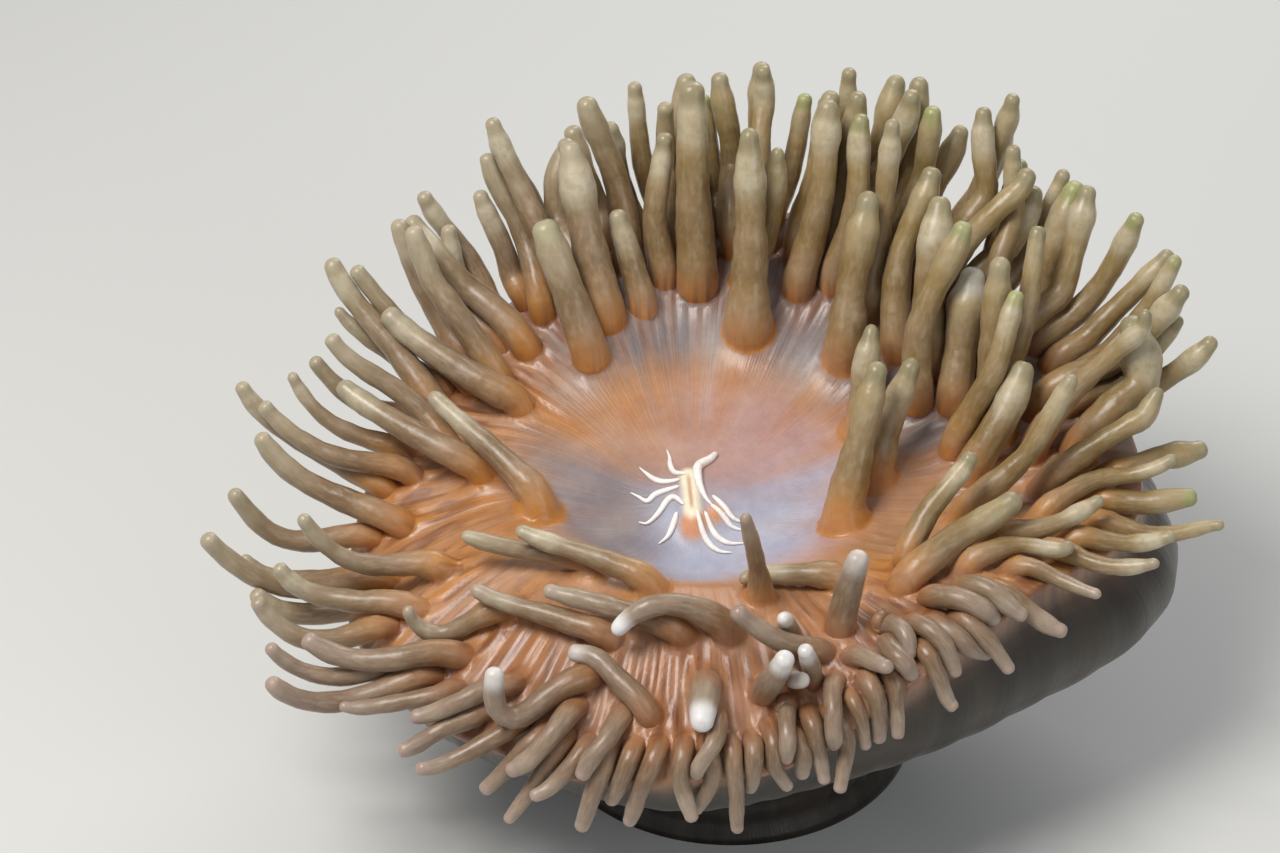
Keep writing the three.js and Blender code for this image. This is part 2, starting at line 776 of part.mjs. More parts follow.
// Primary tentacles come in two lengths and secondary ones whole, each a piece of its own.
const keepout = discKeepout();
tentacles.filter((t) => t.cycle.name === 'primary').forEach((t) => {
  const label = String(t.number + 1).padStart(2, '0');
  const parting = GAP / t.length / 2;
  const stem = tentacleSolid(t, -ROOT / t.length, 0.5 - parting, 5).subtract(keepout);
  addPiece(`tentacle_primary_${label}_stem`, COLOURS.tentacle, stem);
  addPiece(`tentacle_primary_${label}_tip`, COLOURS.tip, tentacleSolid(t, 0.5 + parting, 1, 5));
});
tentacles.filter((t) => t.cycle.name === 'secondary').forEach((t) => {
  const label = String(t.number + 1).padStart(2, '0');
  const whole = tentacleSolid(t, -ROOT / t.length, 1, 5).subtract(keepout);
  addPiece(`tentacle_secondary_${label}`, COLOURS.tentacle, whole);
});

// The other cycles are joined to their sector of the disc, clear of the sectors beside it.
const standing = [];
for (let number = 0; number < SECTORS; number += 1) {
  const beside = [number - 1, number + 1].map((n) => sectorSolid(n, STAND_GAP));
  const trimmed = (t) => beside.reduce(
    (solid, neighbour) => solid.subtract(neighbour),
    tentacleSolid(t, -ROOT / t.length, 1, 4),
  );
  const grown = tentacles
    .filter((t) => !['primary', 'secondary'].includes(t.cycle.name))
    .filter((t) => Math.floor((t.angle / TURN) * SECTORS + 0.5) % SECTORS === number)
    .reduce((body, t) => body.add(trimmed(t)), sectorSolid(number));
  const sector = standing.reduce((solid, other) => solid.subtract(other), grown);
  standing.push(sector);
  addPiece(`crown_${String(number * 30).padStart(3, '0')}`, COLOURS.crown, sector);
}

export default anemone;
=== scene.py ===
"""Bubble-tip sea anemone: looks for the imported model, in metres, +Z up."""
import math

import bmesh
import bpy
import numpy as np
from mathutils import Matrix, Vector
from mathutils.geometry import delaunay_2d_cdt


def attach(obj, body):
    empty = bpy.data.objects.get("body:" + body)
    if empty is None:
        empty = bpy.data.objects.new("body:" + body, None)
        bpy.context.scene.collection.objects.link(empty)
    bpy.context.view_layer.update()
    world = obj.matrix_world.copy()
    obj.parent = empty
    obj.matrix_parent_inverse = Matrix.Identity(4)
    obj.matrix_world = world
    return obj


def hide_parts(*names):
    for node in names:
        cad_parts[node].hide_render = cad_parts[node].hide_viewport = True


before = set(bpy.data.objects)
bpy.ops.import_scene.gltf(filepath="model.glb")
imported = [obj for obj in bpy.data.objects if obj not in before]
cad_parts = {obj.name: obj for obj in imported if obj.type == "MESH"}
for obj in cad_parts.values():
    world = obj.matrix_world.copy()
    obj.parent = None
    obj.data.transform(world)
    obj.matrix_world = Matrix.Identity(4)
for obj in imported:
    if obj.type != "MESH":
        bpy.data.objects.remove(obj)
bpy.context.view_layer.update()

MM = 0.001
TURN = 2 * math.pi
FAR = 1e9

# ------------------------------------------------------------------ the body's driving sizes, mm

MOUTH = np.array([-8.0, 0.0, 58.0])

# The disc every thirty degrees round the mouth: reach and rise of the margin, height of the crest,
# bare share, lean of the inner and of the marginal tentacles (azimuth, rise, length), radius of the
# marginal tentacles, and how far the column's bag draws out past the margin.
COMPASS = [
    (87, 4, 2, 0.39, (50, 60, 36), (3, 8, 30), 1.9, 44),
    (79, 19, 5, 0.50, (60, 66, 40), (34, 52, 42), 2.2, 32),
    (71, 24, 9, 0.58, (60, 72, 40), (50, 64, 39), 2.3, 16),
    (68, 22, 10, 0.62, (95, 76, 40), (92, 74, 38), 2.2, 4),
    (62, 17, 9, 0.62, (125, 60, 38), (132, 56, 34), 2.0, -2),
    (63, 2, 5, 0.55, (150, 46, 40), (157, 30, 35), 1.9, -6),
    (67, -12, 1, 0.46, (168, 28, 42), (178, -2, 37), 1.8, -6),
    (69, -15, 1, 0.45, (176, 12, 38), (186, -12, 35), 1.7, -6),
    (67, -14, 2, 0.47, (178, 6, 34), (205, -28, 24), 1.45, -6),
    (66, -15, 3, 0.53, (178, 10, 30), (262, -78, 18), 1.3, -6),
    (66, -5, 2, 0.56, (185, 30, 26), (305, -62, 16), 1.35, 4),
    (72, 5, 1, 0.42, (30, 30, 28), (335, -18, 22), 1.6, 26),
]
REACH, RISE, CREST, BARE, INNER, OUTER, GIRTH, SWELL = (list(column) for column in zip(*COMPASS))
BOWL_DEPTH = 2.0
BOWL_TILT = 0.55
FLOOR_AT = 0.2
CREST_AT = 0.5
CREST_SLOPE = 0.55
CREST_SLOPE_OVER = 0.2
MARGIN_SLOPE = 0.35
MARGIN_SLOPE_OVER = 1.5

# Ripples of the margin: waves round it, shift and height.
RIPPLES = ((7, 0.6, 1.3), (11, 0.0, 0.9))

# Six cycles of tentacles, from the inside out, and a small cluster of a few more. The most
# prominent ones have a pose of their own: angle and place on the disc, azimuth and rise of the
# lean, length, radius and curl.
POSES = [
    [
        (346, 0.00, 62, 62, 34, 3.1, 0),
        (6, 0.03, 50, 58, 27, 2.9, 0.1),
        (26, 0.00, 80, 60, 23, 2.6, 0.1),
        (46, 0.15, 68, 66, 37, 3.2, 0),
        (73, 0.00, 90, 74, 45, 3.4, 0),
        (88, 0.32, 98, 76, 47, 3.2, 0),
        (103, 0.18, 128, 64, 23, 2.2, 0.1),
        (122, 0.00, 132, 60, 32, 3, 0),
        (188, 0.00, 142, 22, 34, 2.4, 0.1),
        (234, 0.04, 172, 2, 28, 2, 0.2),
        (257, 0.03, 162, 8, 30, 2.1, 0.15),
        (290, 0.00, 240, 72, 26, 1.7, 0),
    ],
    [
        (30, 0.43, 82, 64, 38, 2.9, 0),
        (11, 0.53, 88, 68, 38, 3.2, 0),
        (2, 0.40, 52, 48, 27, 2.7, 0.2),
        (321, 0.54, 30, 14, 30, 2.5, 0.3),
        (313, 0.24, 192, -30, 22, 2.2, 1.3),
        (278, 0.28, 188, 26, 28, 2.3, -1.2),
        (267, 0.32, 166, 4, 29, 2.1, 0.2),
        (250, 0.41, 160, 0, 30, 2.1, 0.3),
        (172, 0.31, 152, 12, 37, 2.3, 0.2),
        (146, 0.24, 156, 20, 36, 2.5, 0.15),
        (132, 0.51, 146, 32, 39, 2.4, 0.1),
        (113, 0.20, 118, 64, 40, 3.1, 0),
    ],
    [
        (20, 0.43, 74, 60, 30, 2.8, 0.1),
        (4, 0.82, 70, 54, 35, 3.1, 0.1),
        (29, 0.84, 38, 54, 38, 3.2, 0),
        (249, 0.60, 206, -58, 32, 1.9, 2.2),
        (223, 0.47, 186, -45, 25, 1.9, 1.9),
        (222, 0.76, 182, -12, 33, 2, 0.9),
        (262, 0.76, 144, 10, 22, 1.9, 0.3),
        (283, 0.66, 305, 60, 17, 2, 0.3),
        (272, 0.60, 262, 4, 14, 2.2, 0.3),
    ],
    [],
    [],
    [],
    [
        (303, 0.48, 342, 80, 20, 2.2, 0),
        (293, 0.70, 245, 66, 14, 1.7, 0.2),
        (301, 0.70, 312, 24, 13, 1.6, 0.2),
        (290, 0.60, 285, 30, 12, 1.7, 0.2),
        (292, 0.40, 250, 58, 13, 1.9, 0.1),
    ],
]
# The rest of a cycle is spread evenly: how many, first angle, arc, how far out, and wander.
CYCLES = [
    (0, 0.0, 360.0, 0.00, 0.00),
    (0, 0.0, 360.0, 0.00, 0.00),
    (14, 280.0, 310.0, 0.42, 0.08),
    (38, 4.0, 360.0, 0.68, 0.04),
    (56, 0.0, 360.0, 0.90, 0.03),
    (14, 238.0, 66.0, 0.76, 0.03),
    (0, 0.0, 360.0, 0.00, 0.00),
]
# The last full cycle stands at the margin, and is a little shorter.
MARGINAL = 4
MARGINAL_SHARE = 0.92
INNER_GIRTH = 2.45
MARGIN_FROM = 0.45
OUT_MOST = 0.9

# The tentacles stand closest on one side, and further out in the front apron.
CROWDING = 0.42
CROWDED_AT = math.radians(45)
APRON = 0.14
APRON_AT = math.radians(245)

# Each tentacle draws ten chances: 0 shifts it round the mouth, 1 outward, 2 to 4 turn its lean, 5
# sets its length, 6 its radius and bulb, 7 its curl and nub, and 3, 8 and 9 its sway.
SEED = 7
DRAWS = 10
LEAN_SPREAD = 0.2
LENGTH_SPREAD = 0.18
GIRTH_SPREAD = 0.10
SWAY = 0.26
POSED_SWAY = 0.3

# The path's steps, and how it leaves the disc at a slant, bends and curls up.
STEPS = 10
SLANT = 0.3
BEND_AT = 0.25
CURL_RISE = 1.6
CURL_USUAL = 0.25
CURL_LOW = 1.2
CURL_LOW_FRONT = 0.3
FRONT_FROM = 3.9

# Radius at the base and at the tip, and how much fuller tips are on the crowded side, as shares.
BASE_FLARE = 1.35
TIP_TAPER = 0.68
CLUB = 0.2

# Rounds that move the bases apart, then the whole tentacles, and the space kept between them.
SEAT_ROOM = 1.25
SEAT_ROUNDS = 40
SEAT_EASE = 0.35
SETTLE_ROUNDS = 120
PUSH_EASE = 0.6
REST_EASE = 0.997
BODY_EASE = 0.7
PAIRS_EVERY = 15
PAIRS_WITHIN = 4
CLEAR = 0.9
CLEAR_OF_BODY = 0.6

# The column: the foot, the waist above it, the bag's height and the thickness at the margin.
FOOT_RADIUS = 38.0
WAIST_PULL = 12.0
WAIST_AT = 0.4
BAG_AT = 0.42
SHEET_AT_MARGIN = 3.5
HALVINGS = 20
NEAREST_MOUTH = 0.02


# ------------------------------------------------------------------ the disc and the column

def between(share, before, start, end, after):
    """Smooth curve from the start to the end, led by the values before and after them."""
    slope = end - before
    square = 2 * before - 5 * start + 4 * end - after
    cube = 3 * (start - end) + after - before
    return start + 0.5 * share * (slope + share * (square + share * cube))


def around(values, angle):
    """Smooth value at an angle, from one value (or row) every thirty degrees."""
    rows = np.asarray(values, float)
    n = len(rows)
    place = (np.asarray(angle, float) / TURN * n) % n
    first = np.floor(place).astype(int) % n
    share = place - np.floor(place)
    if rows.ndim > 1:
        share = share[..., None]
    return between(share, *(rows[(first + k) % n] for k in (-1, 0, 1, 2)))


def smooth(value, low, high):
    """A rise from 0 to 1 as the value goes from low to high, level at both ends."""
    t = np.clip((value - low) / (high - low), 0, 1)
    return t * t * (3 - 2 * t)


def hermite(t, start, end, slope_start, slope_end):
    """Cubic between two values with a slope at each."""
    t2 = t * t
    t3 = t2 * t
    return ((2 * t3 - 3 * t2 + 1) * start + (t3 - 2 * t2 + t) * slope_start
            + (3 * t2 - 2 * t3) * end + (t3 - t2) * slope_end)


def disc_height(s, angle):
    """Height of the disc above the mouth, s running from 0 at the mouth to 1 at the margin."""
    crest = around(CREST, angle)
    margin = around(RISE, angle)
    climb = (crest + BOWL_DEPTH) / (CREST_AT - FLOOR_AT)
    fall = (margin - crest) / (1 - CREST_AT)
    rising = CREST_SLOPE * fall + (1 - CREST_SLOPE) * climb
    crest_slope = np.where(fall > 0, rising, CREST_SLOPE_OVER * climb)
    margin_slope = fall * np.where(fall > 0, MARGIN_SLOPE, MARGIN_SLOPE_OVER)
    ripple = s ** 3 * sum(high * np.sin(n * angle + shift) for n, shift, high in RIPPLES)
    fade = (1 - np.minimum(s / CREST_AT, 1) ** 2) ** 2
    tilt = BOWL_TILT * fade * s * around(REACH, angle) * np.sin(angle)
    near = CREST_AT - FLOOR_AT
    far = 1 - CREST_AT
    floor = hermite(s / FLOOR_AT, 0, -BOWL_DEPTH, 0, 0)
    slope = hermite((s - FLOOR_AT) / near, -BOWL_DEPTH, crest, 0, crest_slope * near)
    apron = hermite((s - CREST_AT) / far, crest, margin, crest_slope * far, margin_slope * far)
    return np.where(s < FLOOR_AT, floor, np.where(s < CREST_AT, slope, apron)) + ripple + tilt


def disc_point(s, angle):
    """The place on the bare disc at a share of the way out and an angle about the mouth."""
    s, angle = np.broadcast_arrays(np.asarray(s, float), np.asarray(angle, float))
    r = s * around(REACH, angle)
    height = MOUTH[2] + disc_height(s, angle)
    return np.stack([MOUTH[0] + r * np.cos(angle), MOUTH[1] + r * np.sin(angle), height], -1)


def disc_normal(s, angle, step=1e-3):
    """The way straight up off the disc."""
    outward = disc_point(s + step, angle) - disc_point(s - step, angle)
    sideways = disc_point(s, angle + step) - disc_point(s, angle - step)
    normal = np.cross(outward, sideways)
    return normal / np.linalg.norm(normal, axis=-1, keepdims=True)


def foot_reach(angle):
    """Distance from the mouth's axis to the foot's round edge."""
    toward = MOUTH[0] * np.cos(angle) + MOUTH[1] * np.sin(angle)
    offset = MOUTH[0] ** 2 + MOUTH[1] ** 2
    return np.sqrt(toward * toward - offset + FOOT_RADIUS ** 2) - toward


def bezier(t, a, b, c, d):
    """Cubic curve from a to d, drawn towards b and c."""
    u = 1 - t
    return u ** 3 * a + 3 * u * u * t * b + 3 * u * t * t * c + t ** 3 * d


def column_profile(t, angle):
    """Distance from the mouth's axis and height of the column's side, t from foot to margin."""
    reach = around(REACH, angle)
    top = MOUTH[2] + around(RISE, angle) - SHEET_AT_MARGIN
    foot = foot_reach(angle)
    out = bezier(t, foot, foot - WAIST_PULL, reach + around(SWELL, angle), reach)
    return out, bezier(t, 0, WAIST_AT * top, BAG_AT * top, top)


def column_reach(z, angle):
    """Distance from the mouth's axis to the column's side at a height, found by halving."""
    low = np.zeros_like(z)
    high = np.ones_like(z)
    for _ in range(HALVINGS):
        middle = (low + high) / 2
        below = column_profile(middle, angle)[1] < z
        low = np.where(below, middle, low)
        high = np.where(below, high, middle)
    return column_profile(low, angle)[0]


def polar(points):
    """Angle and s of points in plan about the mouth, and their distance from its axis."""
    across = points[..., :2] - MOUTH[:2]
    angle = np.arctan2(across[..., 1], across[..., 0])
    r = np.hypot(across[..., 0], across[..., 1])
    return angle, r / around(REACH, angle), r


def out_of_body(points):
    """The way out of the body at each point beside it, and how far out the point is."""
    angle, s, r = polar(points)
    held = np.clip(s, NEAREST_MOUTH, 1)
    normal = disc_normal(held, angle)
    above = (points[..., 2] - MOUTH[2] - disc_height(held, angle)) * normal[..., 2]
    level = np.stack([np.cos(angle), np.sin(angle), 0 * angle], -1)
    beside = r - column_reach(points[..., 2], angle)
    over = s < 1
    return np.where(over[..., None], normal, level), np.where(over, above, beside)


# ------------------------------------------------------------------ growth of the tentacles

def make_draw(seed):
    """Small seeded generator of even numbers between -1 and 1."""
    state = seed
    whole = 0xFFFFFFFF

    def draw():
        nonlocal state
        state = (state + 0x6D2B79F5) & whole
        t = state
        t = ((t ^ (t >> 15)) * (t | 1)) & whole
        t ^= (t + (((t ^ (t >> 7)) * (t | 61)) & whole)) & whole
        return ((t ^ (t >> 14)) & whole) / 2147483648 - 1

    return draw


def heading(azimuth, rise):
    """Unit vector from its azimuth and its rise above level, in degrees."""
    azimuth, rise = math.radians(azimuth), math.radians(rise)
    level = math.cos(rise)
    return np.array([level * math.cos(azimuth), level * math.sin(azimuth), math.sin(rise)])


def lean_at(out, angle):
    """Direction and length at a place, blended from the inner tentacles to the margin's."""
    inner = around([(*heading(a, e), length) for a, e, length in INNER], angle)
    outer = around([(*heading(a, e), length) for a, e, length in OUTER], angle)
    share = smooth(out, MARGIN_FROM, OUT_MOST)
    blend = (1 - share) * inner + share * outer
    return blend[:3] / np.linalg.norm(blend[:3]), float(blend[3])


def curl_of(direction, angle, chance):
    """Tips curl up most where the crown hangs low on the -X side."""
    low = max(0, -direction[0]) * max(0, 1 - 1.2 * abs(direction[2]))
    aside = direction[1] > -0.5 and angle < FRONT_FROM
    strength = CURL_LOW if aside else CURL_LOW_FRONT
    return CURL_USUAL * (1 + chance) + strength * low


def sway_of(chance):
    """How far a tentacle swings aside and back along its length."""
    return SWAY * np.array([chance[8], chance[9], 0.5 * chance[3]])


def posed_tentacle(pose, chance):
    """A prominent tentacle, as its pose has it."""
    angle, out, azimuth, rise, length, girth, curl = pose
    return {
        "angle": math.radians(angle),
        "out": out,
        "direction": heading(azimuth, rise),
        "length": length,
        "girth": girth,
        "curl": curl,
        "sway": POSED_SWAY * sway_of(chance),
        "chance": chance,
        "held": True,
    }


def spread_tentacle(cycle, number, chance):
    """One of a cycle's even spread, closest together on the crowded side."""
    count, first, arc, place, wander = CYCLES[cycle]
    even = math.radians(first + arc / count * (number + 0.1 * chance[0]))
    angle = (even - CROWDING * math.sin(even - CROWDED_AT)) % TURN
    apron = APRON * max(math.cos(angle - APRON_AT), 0)
    out = min(max(place + apron + wander * chance[1], 0), OUT_MOST)
    direction, length = lean_at(out, angle)
    direction = direction + LEAN_SPREAD * np.array(chance[2:5])
    direction = direction / np.linalg.norm(direction)
    share = MARGINAL_SHARE if cycle == MARGINAL else 1
    radius = INNER_GIRTH * (1 - out) + float(around(GIRTH, angle)) * out
    return {
        "angle": angle,
        "out": out,
        "direction": direction,
        "length": length * (1 + LENGTH_SPREAD * chance[5]) * share,
        "girth": radius * (1 + GIRTH_SPREAD * chance[6]),
        "curl": curl_of(direction, angle, chance[7]),
        "sway": sway_of(chance),
        "chance": chance,
        "held": False,
    }


def sprout():
    """All the tentacles as they leave the disc, each with its own draws of chance."""
    draw = make_draw(SEED)
    tentacles = []
    for cycle, (count, *_) in enumerate(CYCLES):
        for number, pose in enumerate(POSES[cycle]):
            tentacles.append(posed_tentacle(pose, [draw() for _ in range(DRAWS)]))
            tentacles[-1]["pose"] = (cycle, number)
        for number in range(count):
            tentacles.append(spread_tentacle(cycle, number, [draw() for _ in range(DRAWS)]))
    return tentacles


def seat(tentacles):
    """Moves the bases apart over the plan. The posed tentacles hold their place."""
    held = np.array([t["held"] for t in tentacles])
    share = np.where(held[None], 2 * SEAT_EASE, SEAT_EASE) * ~held[:, None]
    angle = np.array([t["angle"] for t in tentacles])
    out = np.array([t["out"] for t in tentacles])
    girth = np.array([t["girth"] for t in tentacles])
    room = SEAT_ROOM * (girth[:, None] + girth[None, :]) + CLEAR
    apart = FAR * np.eye(len(tentacles))
    for _ in range(SEAT_ROUNDS):
        bare = around(BARE, angle)
        base = disc_point(bare + (1 - bare) * out, angle)[:, :2] - MOUTH[:2]
        away = base[:, None] - base[None]
        distance = np.linalg.norm(away, axis=-1) + apart
        need = np.maximum(room - distance, 0)
        base = base + (away / distance[..., None] * (share * need)[..., None]).sum(1)
        angle = np.arctan2(base[:, 1], base[:, 0]) % TURN
        bare = around(BARE, angle)
        s = np.hypot(base[:, 0], base[:, 1]) / around(REACH, angle)
        out = np.clip((s - bare) / (1 - bare), 0, OUT_MOST)
    for t, t_angle, t_out in zip(tentacles, angle, out):
        bare = float(around(BARE, t_angle))
        t["angle"], t["out"] = t_angle, t_out
        t["s"] = bare + (1 - bare) * t_out


def rest_path(t):
    """A tentacle leaves the disc at a slant, bends to its lean, sways once and curls up."""
    normal = disc_normal(t["s"], t["angle"])
    path = [disc_point(t["s"], t["angle"])]
    for k in range(STEPS):
        along = (k + 0.5) / STEPS
        bend = SLANT + (1 - SLANT) * smooth(along, 0, BEND_AT)
        way = (1 - bend) * normal + bend * t["direction"]
        way = way + np.array([0, 0, CURL_RISE * t["curl"] * along ** 3])
        way = way + t["sway"] * math.sin(TURN * along)
        path.append(path[-1] + way / np.linalg.norm(way) * t["length"] / STEPS)
    return path


def club_of(angle):
    """Tentacles taper, least on the crowded side, where their ends swell."""
    return CLUB * max(0, math.cos(angle - CROWDED_AT))


def near_pairs(places, radius, owner, free):
    """Pairs of points on two tentacles that could come to touch, at least one of them free."""
    gap = places[:, None] - places[None]
    square = (gap ** 2).sum(-1)
    near = square < (radius[:, None] + radius[None] + CLEAR + PAIRS_WITHIN) ** 2
    near &= (owner[:, None] < owner[None]) & (free[:, None] | free[None])
    return np.nonzero(near)


def push_apart(places, pairs, radius, free):
    """The move of each point that eases the pairs that are too close."""
    i, j = pairs
    away = places[i] - places[j]
    distance = np.linalg.norm(away, axis=-1)
    need = np.maximum(radius[i] + radius[j] + CLEAR - distance, 0)
    share = PUSH_EASE * need / distance / (free[i].astype(float) + free[j])
    push = np.zeros_like(places)
    np.add.at(push, i, away * (share * free[i])[:, None])
    np.add.at(push, j, -away * (share * free[j])[:, None])
    return push


def settle(tentacles):
    """Eases each tentacle off its neighbours and off the body, at its own length."""
    rest = np.array([rest_path(t) for t in tentacles])
    count = len(tentacles)
    girth = np.array([t["girth"] for t in tentacles])
    step = np.array([t["length"] for t in tentacles])[:, None] / STEPS
    along = np.arange(STEPS + 1) / STEPS
    end = TIP_TAPER + np.array([club_of(t["angle"]) for t in tentacles])
    radius = girth[:, None] * (BASE_FLARE - (BASE_FLARE - end[:, None]) * along[None])
    owner = np.repeat(np.arange(count), STEPS + 1)
    free = np.broadcast_to(np.arange(STEPS + 1) > 1, (count, STEPS + 1))
    places = rest.copy()
    for turn in range(SETTLE_ROUNDS):
        flat = places.reshape(-1, 3)
        if turn % PAIRS_EVERY == 0:
            pairs = near_pairs(flat, radius.ravel(), owner, free.ravel())
        push = push_apart(flat, pairs, radius.ravel(), free.ravel())
        off = places + push.reshape(places.shape) - rest
        even = off.copy()
        even[:, 1:-1] = 0.5 * off[:, 1:-1] + 0.25 * (off[:, :-2] + off[:, 2:])
        places = rest + REST_EASE * even * free[..., None]
        normal, above = out_of_body(places)
        lack = np.maximum(radius + CLEAR_OF_BODY - above, 0) * free
        places = places + BODY_EASE * normal * lack[..., None]
        for k in range(2, STEPS + 1):
            way = places[:, k] - places[:, k - 1]
            way = way / np.linalg.norm(way, axis=-1, keepdims=True)
            places[:, k] = places[:, k - 1] + way * step
    for t, path in zip(tentacles, places):
        t["path"] = path


# ------------------------------------------------------------------ node trees

def add_node(tree, kind, inputs=None, **settings):
    """A node with its settings, each input given a value or joined to another node's socket."""
    made = tree.nodes.new(kind)
    for name, value in settings.items():
        setattr(made, name, value)
    for key, value in (inputs or {}).items():
        if isinstance(value, bpy.types.NodeSocket):
            tree.links.new(value, made.inputs[key])
        else:
            made.inputs[key].default_value = value
    return made


def calculate(tree, operation, *values, clamp=False):
    """The result of a sum on one, two or three values, held from 0 to 1 if clamped."""
    made = add_node(tree, "ShaderNodeMath", dict(enumerate(values)), operation=operation)
    made.use_clamp = clamp
    return made.outputs[0]


def curve_of(tree, value, points):
    """A smooth curve of a value between 0 and 1, through a few points."""
    made = add_node(tree, "ShaderNodeFloatCurve", {"Value": value})
    made.mapping.use_clip = False
    curve = made.mapping.curves[0]
    curve.points[0].location = points[0]
    curve.points[1].location = points[-1]
    for x, y in points[1:-1]:
        curve.points.new(x, y)
    made.mapping.update()
    return made.outputs[0]


def tube_tree():
    """Sweeps a round outline along each chain of edges, by the widths stored on its points."""
    tree = bpy.data.node_groups.new("Tentacle tubes", "GeometryNodeTree")
    face = tree.interface
    face.new_socket("Chains", in_out="INPUT", socket_type="NodeSocketGeometry")
    for name, kind in (("Sides", "Int"), ("Tip span", "Float"), ("Flesh", "Material")):
        face.new_socket(name, in_out="INPUT", socket_type="NodeSocket" + kind)
    face.new_socket("Tubes", in_out="OUTPUT", socket_type="NodeSocketGeometry")
    given = tree.nodes.new("NodeGroupInput").outputs
    result = tree.nodes.new("NodeGroupOutput").inputs

    def stored(name):
        made = add_node(tree, "GeometryNodeInputNamedAttribute", {"Name": name}, data_type="FLOAT")
        return made.outputs["Attribute"]

    def do(operation, *values, clamp=False):
        return calculate(tree, operation, *values, clamp=clamp)

    girth, tip = stored("girth"), stored("tip")
    width = do("MULTIPLY", girth, curve_of(tree, stored("along"), SHAFT))
    near_tip = do("DIVIDE", tip, given["Tip span"], clamp=True)
    bulb = do("MULTIPLY", stored("bulb"), curve_of(tree, near_tip, BULB))
    nub = do("MULTIPLY", stored("nub"), curve_of(tree, near_tip, NUB))
    body = do("MULTIPLY", width, do("SUBTRACT", do("ADD", 1.0, bulb), nub))
    short = do("SUBTRACT", 1.0, do("DIVIDE", tip, TIP_ROUND), clamp=True)
    cap = do("SQRT", do("SUBTRACT", 1.0, do("MULTIPLY", short, short)))
    spread = do("SUBTRACT", stored("root"), width)
    fall = do("EXPONENT", do("MULTIPLY", do("SQRT", stored("height")), stored("fall")))
    radius = do("ADD", do("MULTIPLY", body, cap), do("MULTIPLY", spread, fall))
    curve = add_node(tree, "GeometryNodeMeshToCurve", {"Mesh": given["Chains"]})
    ring = add_node(tree, "GeometryNodeCurvePrimitiveCircle",
                    {"Resolution": given["Sides"], "Radius": 1.0})
    swept = add_node(tree, "GeometryNodeCurveToMesh", {
        "Curve": curve.outputs[0],
        "Profile Curve": ring.outputs[0],
        "Scale": radius,
    })
    whole = add_node(tree, "GeometryNodeRealizeInstances", {"Geometry": swept.outputs[0]})
    dressed = add_node(tree, "GeometryNodeSetMaterial",
                       {"Geometry": whole.outputs[0], "Material": given["Flesh"]})
    tree.links.new(dressed.outputs[0], result["Tubes"])
    return tree


CHAIN_WIDTHS = ("girth", "root")
CHAIN_SHARES = ("height", "fall", "along", "tip", "bulb", "nub")
PLACES_PER_CHAIN = 1000


def chain_mesh(name, chains):
    """Chains of edges, with the widths and shares that the sweep needs, and each point's place."""
    mesh = bpy.data.meshes.new(name)
    lengths = [len(chain["points"]) for chain in chains]
    starts = np.concatenate([[0], np.cumsum(lengths)[:-1]])
    edges = [(s + k, s + k + 1) for s, n in zip(starts, lengths) for k in range(n - 1)]
    mesh.from_pydata(np.concatenate([chain["points"] for chain in chains]) * MM, edges, [])
    for key in CHAIN_WIDTHS + CHAIN_SHARES:
        scale = MM if key in CHAIN_WIDTHS else 1
        values = np.concatenate([np.broadcast_to(c[key], len(c["points"])) for c in chains])
        mesh.attributes.new(key, "FLOAT", "POINT").data.foreach_set("value", values * scale)
    place = np.concatenate([k * PLACES_PER_CHAIN + np.arange(n) for k, n in enumerate(lengths)])
    mesh.attributes.new("place", "INT", "POINT").data.foreach_set("value", place)
    return mesh


def swept_tubes(name, chains, sides, material):
    """Rings of points round each chain: one array of (rings, sides, 3) for each chain, in mm."""
    holder = bpy.data.objects.new(name, chain_mesh(name, chains))
    bpy.context.scene.collection.objects.link(holder)
    grow = holder.modifiers.new("Tubes", "NODES")
    tree = tube_tree()
    identifiers = {item.name: item.identifier for item in tree.interface.items_tree}
    grow.node_group = tree
    grow[identifiers["Sides"]] = sides
    grow[identifiers["Tip span"]] = TIP_SPAN
    grow[identifiers["Flesh"]] = material
    depsgraph = bpy.context.evaluated_depsgraph_get()
    grown = bpy.data.meshes.new_from_object(holder.evaluated_get(depsgraph))
    bpy.data.objects.remove(holder)

    count = len(grown.vertices)
    spots = np.empty(count * 3)
    grown.vertices.foreach_get("co", spots)
    place = np.empty(count, int)
    grown.attributes["place"].data.foreach_get("value", place)
    spots = spots.reshape(-1, 3)[np.argsort(place, kind="stable")] / MM
    splits = np.cumsum([len(chain["points"]) * sides for chain in chains])[:-1]
    return [part.reshape(-1, sides, 3) for part in np.split(spots, splits)]


# ------------------------------------------------------------------ the skin's surface, mm

# Points round a tentacle and round the disc, the spacing of a tentacle's rings, and the rings at
# its base and tip in radii.
SIDES = 14
SPOKES = 240
RING_STEP = 1.9
BASE_RINGS = (0.0, 0.07, 0.2, 0.4, 0.7, 1.1, 1.6)
TIP_RINGS = (4.4, 3.7, 3.1, 2.55, 2.05, 1.6, 1.2, 0.9, 0.65, 0.46, 0.3, 0.17, 0.07, 0.02)

# Roots widen into the disc as far as there is room, and their first rings lie along it.
ROOM_AT_ROOT = 0.3
ROOT_MOST = 2.5
ROOT_FALL = 1.9
CROWDED_FALL = 0.35
ROOT_HELD_TO = 4.0
ROOT_TURNED_TO = 1.8
ROOT_LIFT = 0.3
ROOT_LIFT_OVER = (1.2, 2.6)

